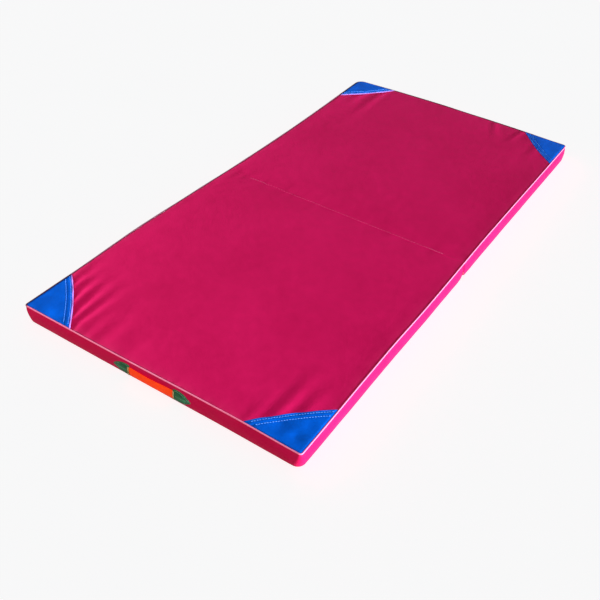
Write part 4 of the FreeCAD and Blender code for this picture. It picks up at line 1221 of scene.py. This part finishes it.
def build_patch(sx, sy, tag, side):
    radius = SEAM_RADIUS[sx, sy] - CORD_INSET
    smallest = 2 * (radius - radius / math.sqrt(2)) + 0.0002
    # row depths in from the long edge, close together at the edge and the stitch rows
    depths = np.concatenate([
        [0, 0.0004, 0.0009, 0.0018, 0.0034, 0.0048, 0.0058, 0.0064, 0.0070, 0.0076, 0.0082,
         0.0094, 0.0112, 0.0135, 0.0158, 0.0176, 0.0188, 0.0194, 0.0200, 0.0206, 0.0212,
         0.0226, 0.0250, 0.028],
        np.arange(0.032, (PATCH_LEG - 0.03) / math.sqrt(2), 0.0042)])
    legs = PATCH_LEG - depths * math.sqrt(2)
    legs = np.concatenate([legs, np.linspace(legs[-1], smallest, 9)[1:]])
    across = np.linspace(-1, 1, 57)
    x, y = patch_xy(*np.meshgrid(legs, across, indexing="ij"), sx, sy)
    outer = warp(np.stack([x, y, patch_top(x, y, sx, sy)], -1))
    inner = warp(np.stack([x, y, top_height(x, y) + 0.00005], -1))
    depth = np.maximum(patch_depth(x, y, sx, sy), 0)
    from_side, from_end = TOP_X - sx * x, TOP_Y - sy * y
    edge = np.minimum(from_side, from_end)
    wear = np.clip(0.9 * np.exp(-depth / 0.004) + 0.7 * np.exp(-edge / 0.006), 0, 1)
    # painted shade along the patch's outer edges, strongest on the left and far sides
    side_painted_shade = 0.85 * hill(np.maximum(from_side, 0), 0.0066 if sx < 0 else 0.0022)
    end_painted_shade = (0.85 if sy > 0 else 0.35) * hill(np.maximum(from_end, 0), 0.0022)
    # on the left patches the long edge, with its first four rows, is painted pale: a painted highlight where
    # the light catches the raised edge
    row = np.arange((len(legs) - 1) * (len(across) - 1)) // (len(across) - 1)
    lit_long_edge = sx < 0
    obj = shell(f"corner_patch_{tag}_{side}_vinyl", outer, inner, (x, y),
                [PATCH_VINYL, PATCH_EDGE_HIGHLIGHT if lit_long_edge else PATCH_VINYL],
                outer_mat=np.where(lit_long_edge & (row < 4), 1, 0),
                wear=wear, shade=np.maximum(side_painted_shade, end_painted_shade))
    hand_over(obj, "corner_vinyl", tag, f"corner_patch_{tag}_{side}")


def patch_row(sx, sy, depth):
    """One row of stitches along a patch at a depth in from its long edge."""
    t = np.linspace(-1, 1, 400)
    x, y = patch_xy(np.full_like(t, PATCH_LEG - depth * math.sqrt(2)), t, sx, sy)
    s = arc_length(x, y)
    length, space = 0.0058, 0.0018
    start = np.arange(0.006, s[-1] - 0.006 - length, length + space)

    def at(place):
        px, py = np.interp(place, s, x), np.interp(place, s, y)
        return warp(np.stack([px, py, patch_top(px, py, sx, sy) + 0.0003], -1))

    return threads(at(start), at(start + length), (0.0, 0.0, 1.0), 0.00052)


def build_patch_stitching(sy, tag):
    rows = [patch_row(sx, sy, depth) for sx, _ in SIDES for depth in PATCH_ROWS]
    obj = threads_object(f"patch_stitching_{tag}_thread", rows, PATCH_THREAD)
    hand_over(obj, "patch_thread", tag, f"patch_stitching_{tag}")


def build_fold_stitching():
    """A row along the fold, with a short second row beside it at each end."""
    lo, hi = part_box("fold_stitching")

    def row(start, stop, step, length, radius, side=0.0):
        def at(x):
            y = 0.0012 * noise_a(x, 0 * x, 0.09) + 0.0005 * noise_b(x, 0 * x, 0.03)
            line = warp(np.stack([x, y, top_height(x, y) + 0.00030], -1))
            return line + np.array([0.0, side, 0.0])

        x = np.arange(start, stop, step)
        return threads(at(x), at(x + length), (0.0, 0.0, 1.0), radius)

    second = {"step": 0.0100, "length": 0.0088, "radius": 0.00062, "side": 0.0013}
    parts = [
        row(lo.x + 0.001, hi.x - 0.009, step=0.0118, length=0.0086, radius=0.00055),
        row(lo.x + 0.004, lo.x + 0.066, **second),
        row(hi.x - 0.072, hi.x - 0.010, **second),
    ]
    obj = threads_object("fold_stitching_thread", parts, FOLD_THREAD)
    hand_over(obj, "fold_thread", None, "fold_stitching")


# ------------------------------------------------------------------ handles
def tilt(x):
    """The handle isn't quite level: its left end sits a little lower."""
    return 0.0009 * np.sin(x / 0.142 * math.pi / 2)


def on_end(x, out, z, sy):
    """A point standing `out` from the end wall's cloth; z is measured from the handle's line."""
    z = HANDLE_Z + tilt(x) + z
    along = WALL_SIDE + (x + HALF_X)
    face = bulge(along, z, sy) + CLOTH_RISE[sy](along, z)
    return warp(np.stack([x, sy * (HALF_Y + face + out), z], -1))


def build_strap(sy, tag):
    """The webbing between the leaves, in a left and a right half."""
    for sx, side in SIDES:
        x, w = np.meshgrid(np.linspace(0, STRAP_X, 34) * sx, np.linspace(-1, 1, 17),
                           indexing="ij")
        taper = 1 - (x / STRAP_X) ** 2
        narrow = 1 - 0.03 * hill(x, 0.03)
        z = w * STRAP_HALF * narrow + 0.0004 * noise_b(x + 9 * sy, 0 * x, 0.03)
        wave = 0.0005 * noise_a(x + 3.0 * sy, w * 0.01, 0.035) * taper
        out = 0.0007 + 0.0030 * taper ** 1.25 + wave
        crown = 0.0014 * (1 - w ** 2)
        selvedge = 0.00035 * hill(np.abs(w) - 0.9, 0.07)
        edge = np.clip((1 - np.abs(w)) / 0.08, 0, 1)
        outer = on_end(x, out + 0.0012 + crown + selvedge, z, sy)
        inner = on_end(x, out + 0.0001 + crown * 0.7 + (1 - edge) * 0.0005, z, sy)
        obj = shell(f"handle_strap_{tag}_{side}", outer, inner, (x, w * STRAP_HALF),
                    [STRAP_WEBBING], inner_mat=0, rim_mat=0, sharp=60)
        if sx < 0:
            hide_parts(f"handle_strap_{tag}")
        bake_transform(obj)


def build_strap_ends(sy, tag):
    """The flat ends of the webbing under the leaves."""
    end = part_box(f"handle_strap_ends_{tag}")[1].x - 0.001
    plates = []
    for sx, _ in SIDES:
        x, w = np.meshgrid(np.linspace(STRAP_X + 0.0003, end, 24) * sx, np.linspace(-1, 1, 9),
                           indexing="ij")
        z = w * (STRAP_HALF - 0.0006)
        outer, inner = (on_end(x, out, z, sy) for out in (0.0015, 0.0001))
        plates.append((outer, inner, x, w * STRAP_HALF))
    obj = plates_object(f"handle_strap_ends_{tag}_webbing", plates, STRAP_WEBBING)
    hand_over(obj, "webbing", tag, f"handle_strap_ends_{tag}")


def leaf_shape(t):
    """Distance out along the leaf and its half height, at t from 0 to 1."""
    start_half, bow = 0.020, 0.0085
    slant = math.hypot(LEAF_LENGTH, start_half)
    arch = bow * 4 * t * (1 - t)
    return (LEAF_LENGTH * t + start_half / slant * arch,
            start_half * (1 - t) + LEAF_LENGTH / slant * arch)


def over_strap(x, z):
    """1 where the leaf stands over the sewn strap end, 0 beyond it."""
    return smooth((0.0175 - np.abs(z)) / 0.004) * smooth((0.044 - x) / 0.006)


def build_leaf(sx, sy, tag, side):
    t = np.concatenate([[0, 0.006, 0.018, 0.035], np.linspace(0.06, 0.94, 30),
                        [0.965, 0.985, 0.997, 1.0]])
    above = np.array([0, 0.03, 0.08, 0.16, 0.26, 0.38, 0.5, 0.62, 0.72, 0.8, 0.86, 0.91, 0.955,
                      0.985, 1])
    t, w = np.meshgrid(t, np.concatenate([-above[:0:-1], above]), indexing="ij")
    along, half = leaf_shape(t)
    # a rounded start beside the strap
    half = np.maximum(half, 0.0006) * (1 - 0.10 * (1 - np.clip(t / 0.035, 0, 1)) ** 2)
    x, z = sx * (LEAF_X + along), w * half
    rim = np.minimum((1 - np.abs(w)) * half, along + 0.0002)
    rim = np.minimum(rim, (LEAF_LENGTH - along) * 0.6 + 0.0002)
    over = over_strap(along, z)
    vein = 0.0006 * bell(z, 0.0011) * smooth((along - 0.004) / 0.006)
    stitch_dip = 0.00045 * bell(rim - 0.0032, 0.0008)
    out = 0.0009 * np.clip(rim / 0.0008, 0.25, 1) ** 0.5
    out = out + 0.0012 * np.sqrt(np.clip(rim / 0.006, 0, 1)) + 0.0016 * over - vein - stitch_dip
    outer = on_end(x, out, z, sy)
    inner = on_end(x, np.maximum(0.00005, 0.0017 * over * (rim > 0.002)), z, sy)
    # painted highlight along the leaf's middle, carried in the wear attribute; the lightening at the rim is
    # wear
    ridge = bell(z, 0.0048) * np.sin(math.pi * np.clip(along / LEAF_LENGTH, 0, 1))
    wear = np.clip(0.05 + 0.65 * ridge, 0, 1)
    wear = np.clip(wear + 0.35 * np.exp(-rim / 0.0012), 0, 1)
    obj = shell(f"handle_leaf_{tag}_{side}_hide", outer, inner, (x, z), [LEAF_HIDE, LEAF_HIDE],
                wear=wear)
    hand_over(obj, "leaf_hide", tag, f"handle_leaf_{tag}_{side}")


def build_leaf_stitching(sx, sy, tag, side):
    """Rows along the leaf's lower edge, upper edge and vein."""
    outline_x, outline_half = leaf_shape(np.linspace(0.03, 0.93, 200))

    def row(level):
        if level:
            keep = (outline_half > 0.0042) & (outline_x > 0.003)
        else:
            keep = (outline_x > 0.010) & (outline_x < 0.052)
        dip, radius = (0.00045, 0.00042) if level else (0.0006, 0.00036)
        line_x = outline_x[keep]
        line_z = level * np.maximum(outline_half - 0.0034, 0.0)[keep]
        s = arc_length(line_x, line_z)
        start = np.arange(0.0, s[-1] - 0.0030, 0.0042)

        def at(place):
            x, z = np.interp(place, s, line_x), np.interp(place, s, line_z)
            rim = np.interp(x, outline_x, outline_half) - np.abs(z)
            out = 0.0009 + 0.0012 * np.sqrt(np.clip(rim / 0.006, 0, 1))
            out = out + 0.0016 * over_strap(x, z) - dip + 0.00022
            return on_end(sx * (LEAF_X + x), out, z, sy)

        return threads(at(start), at(start + 0.0031), (0.0, sy, 0.0), radius)

    obj = threads_object(f"leaf_stitching_{tag}_{side}", [row(level) for level in (-1, 1, 0)],
                         LEAF_THREAD)
    hand_over(obj, "leaf_hide", tag)


def build_bar_tack(sx, sy, tag, side):
    """Two columns of close stitches where the leaf meets the strap."""
    z = np.arange(-0.0158, 0.0158, 0.00085)

    def at(along, z):
        return on_end(np.full_like(z, LEAF_X + along) * sx, 0.0041, z, sy)

    parts = [threads(at(column, z), at(column + 0.0021, z + 0.0002), (0.0, sy, 0.0),
                     0.00042, rise=0.4)
             for column in (0.0006, 0.0030)]
    hand_over(threads_object(f"bar_tack_{tag}_{side}", parts, TACK_THREAD), "webbing", tag)


# ------------------------------------------------------------------ zips
# one turn of the coil, in mm: along x, out (y), up from the chain's middle (z)
COIL_TURN = np.array([
    (-0.55, 0.30, 2.45), (-0.50, 0.62, 1.7), (-0.45, 0.80, 0.7), (-0.35, 0.70, -0.25),
    (0.0, 0.15, -0.62), (0.35, -0.45, -0.25), (0.45, -0.62, 0.7), (0.50, -0.55, 1.7),
    (0.55, -0.40, 2.45),
]) * 0.001


def build_zip_tapes(sy, tag, zip_z):
    """Two woven strips, each with a bead along its inner edge."""
    across = np.array([0.0006, 0.0012, 0.0019, 0.0027, 0.0036, 0.005, 0.007, 0.0092, 0.0112,
                       0.0128])
    x, w = np.meshgrid(np.linspace(-SLOT_X + 0.001, SLOT_X - 0.001, 160), across, indexing="ij")
    back = -(GAP + 0.0009) - 0.00005
    bead = 0.00035 * hill(w - 0.0019, 0.0007)
    plates = []
    for side in (-1, 1):
        outer, inner = (np.stack([x, y, zip_z + side * w], -1) * mirror(sy)
                        for y in (back + bead, back - 0.00055 + 0 * w))
        plates.append((outer, inner, x, w * side + 0.02))
    obj = plates_object(f"zip_tapes_{tag}_weave", plates, ZIP_TAPE)
    hand_over(obj, "zip_tape", tag, f"zip_tapes_{tag}")


def build_zip_coils(sy, tag, zip_z):
    """Flattened hairpin turns from each tape, meshed along the middle, and their sewing."""
    pitch, radius, half = 0.0030, 0.00036, 0.4890
    y = -(GAP + 0.0003)
    parts = []
    for side, phase in ((-1, 0.0), (1, 0.5)):
        x = np.arange(-half + phase * pitch, half, pitch)
        origin = np.stack([x, np.full_like(x, y), np.full_like(x, zip_z)], -1)
        centre = origin[:, None] + COIL_TURN * np.array([1, 1, side])
        tangent = np.gradient(centre, axis=1)
        tangent /= np.linalg.norm(tangent, axis=-1, keepdims=True)
        across = np.cross(tangent, (1.0, 0.0, 0.0))
        across /= np.linalg.norm(across, axis=-1, keepdims=True)
        up = np.cross(across, tangent)
        along = np.tile(np.linspace(0, 1, len(COIL_TURN)) * 0.006, (len(x), 1))
        flip = mirror(sy)
        parts.append(strands(centre * flip, across * flip, up * flip, radius, along))
        stitches = np.arange(-0.4885, 0.4870, 0.0030)
        parts.append(threads_along_x(stitches, y + 0.0005, zip_z + side * 0.00185,
                                     0.0022, 0.00022, sy))
    obj = threads_object(f"zip_coils_{tag}_chain", parts, ZIP_COIL)
    hand_over(obj, "zip_coil", tag, f"zip_coils_{tag}")


def build_zip(sy, tag):
    lo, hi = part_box(f"zip_coils_{tag}")
    zip_z = (lo.z + hi.z) / 2
    build_zip_tapes(sy, tag, zip_z)
    build_zip_coils(sy, tag, zip_z)


def finish_zip_metal(tag):
    """The frame's own zip hardware, in metal with softened edges."""
    for part in ("end_stops", "slider", "pull"):
        obj = frame["nodes"][f"zip_{part}_{tag}"]
        for slot in obj.material_slots:
            slot.material = ZIP_METAL
        if not obj.material_slots:
            obj.data.materials.append(ZIP_METAL)
        bevel = obj.modifiers.new("edge", "BEVEL")
        bevel.width = 0.00025
        bevel.segments = 2
        bevel.limit_method = "ANGLE"


# ------------------------------------------------------------------ build
simulate_top()
for sy, _ in PANELS:
    simulate_wall(sy)
build_top_sheet()
build_piping()
for sy, tag in PANELS:
    build_wall(sy, tag)
    build_base(sy, tag)
    build_inner_wall(sy, tag)
    build_foam(sy, tag)
    build_patch_stitching(sy, tag)
    build_strap(sy, tag)
    build_strap_ends(sy, tag)
    for sx, side in SIDES:
        build_leaf(sx, sy, tag, side)
        build_leaf_stitching(sx, sy, tag, side)
        build_bar_tack(sx, sy, tag, side)
    build_zip(sy, tag)
for corner in CORNERS:
    build_patch(*corner)
build_fold_stitching()
for _, tag in PANELS:
    finish_zip_metal(tag)

# ------------------------------------------------------------------ stage and lights
floor_corners = [(x, y, -0.0002) for x, y in ((-14, -14), (14, -14), (14, 14), (-14, 14))]
add_object("studio_floor", floor_corners, [(0, 1, 2, 3)], [studio_floor("studio_floor")])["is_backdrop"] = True

world = bpy.data.worlds.new("studio")
SCENE.world = world
world.use_nodes = True
background = world.node_tree.nodes["Background"]
background.inputs["Color"].default_value = (0.94, 0.96, 1.0, 1)
background.inputs["Strength"].default_value = 0.17


def lit_group(name, keep):
    """Collection of the mat's meshes that a light falls on."""
    group = bpy.data.collections.new(name)
    for obj in list(SCENE.objects):
        if obj.type == "MESH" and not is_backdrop(obj) and keep(obj):
            group.objects.link(obj)
    return group


def add_light(name, kind, source, on, place=(0, 0, 0), **settings):
    """A light that falls on one group only; `source` points back towards the light."""
    data = bpy.data.lights.new(name, kind)
    for key, value in settings.items():
        setattr(data, key, value)
    obj = bpy.data.objects.new(name, data)
    obj.location = place
    obj.rotation_euler = Vector(source).to_track_quat("Z", "Y").to_euler()
    SCENE.collection.objects.link(obj)
    obj.light_linking.receiver_collection = on


lit_mat = lit_group("lit_mat", lambda obj: True)
lit_top = lit_group("lit_top", lambda obj: obj.name.startswith("top_sheet"))
lit_rest = lit_group("lit_rest", lambda obj: not obj.name.startswith("top_sheet"))

add_light("key", "SUN", source=(1.0, 0.06, 0.135), on=lit_rest, energy=10.5,
          angle=math.radians(14), color=(0.88, 1.15, 1.38))
add_light("top_light", "SUN", source=(-1.0, -0.06, 0.16), on=lit_top, energy=7.4,
          angle=math.radians(14), color=(0.90, 1.0, 1.28))
add_light("edge_light", "SUN", source=(1.0, 0.06, 0.25), on=lit_top, energy=1.1,
          angle=math.radians(10), color=(0.88, 1.0, 1.38))
box_place = Vector((-1.3, -2.3, 1.9))
box_aim = Vector((-0.1, -0.5, 0.05))
add_light("front_box", "AREA", source=box_place - box_aim, on=lit_mat, place=box_place,
          shape="DISK", size=1.4, energy=30.0, color=(1.0, 0.95, 0.95))

# ------------------------------------------------------------------ camera
azimuth = math.radians(31.526)      # from straight in front (-Y) towards +X
elevation = math.radians(39.734)
camera_roll = math.radians(3.111)
camera_distance = 2.545
camera_target = Vector((0.160, -0.491, THICK))

back = Vector((math.sin(azimuth) * math.cos(elevation),
               -math.cos(azimuth) * math.cos(elevation),
               math.sin(elevation)))
right = Vector((math.cos(azimuth), math.sin(azimuth), 0))
up = back.cross(right)
rolled_right = right * math.cos(camera_roll) + up * math.sin(camera_roll)
rolled_up = -right * math.sin(camera_roll) + up * math.cos(camera_roll)
turn = Matrix((rolled_right, rolled_up, back)).transposed().to_4x4()

camera_data = bpy.data.cameras.new("camera")
camera_data.sensor_width = 36.0
camera_data.lens = 49.0032
camera_data.clip_end = 60
camera = bpy.data.objects.new("camera", camera_data)
camera.matrix_world = Matrix.Translation(camera_target + back * camera_distance) @ turn
SCENE.collection.objects.link(camera)
SCENE.camera = camera
SCENE.view_settings.view_transform = "Standard"

bpy.context.view_layer.update()
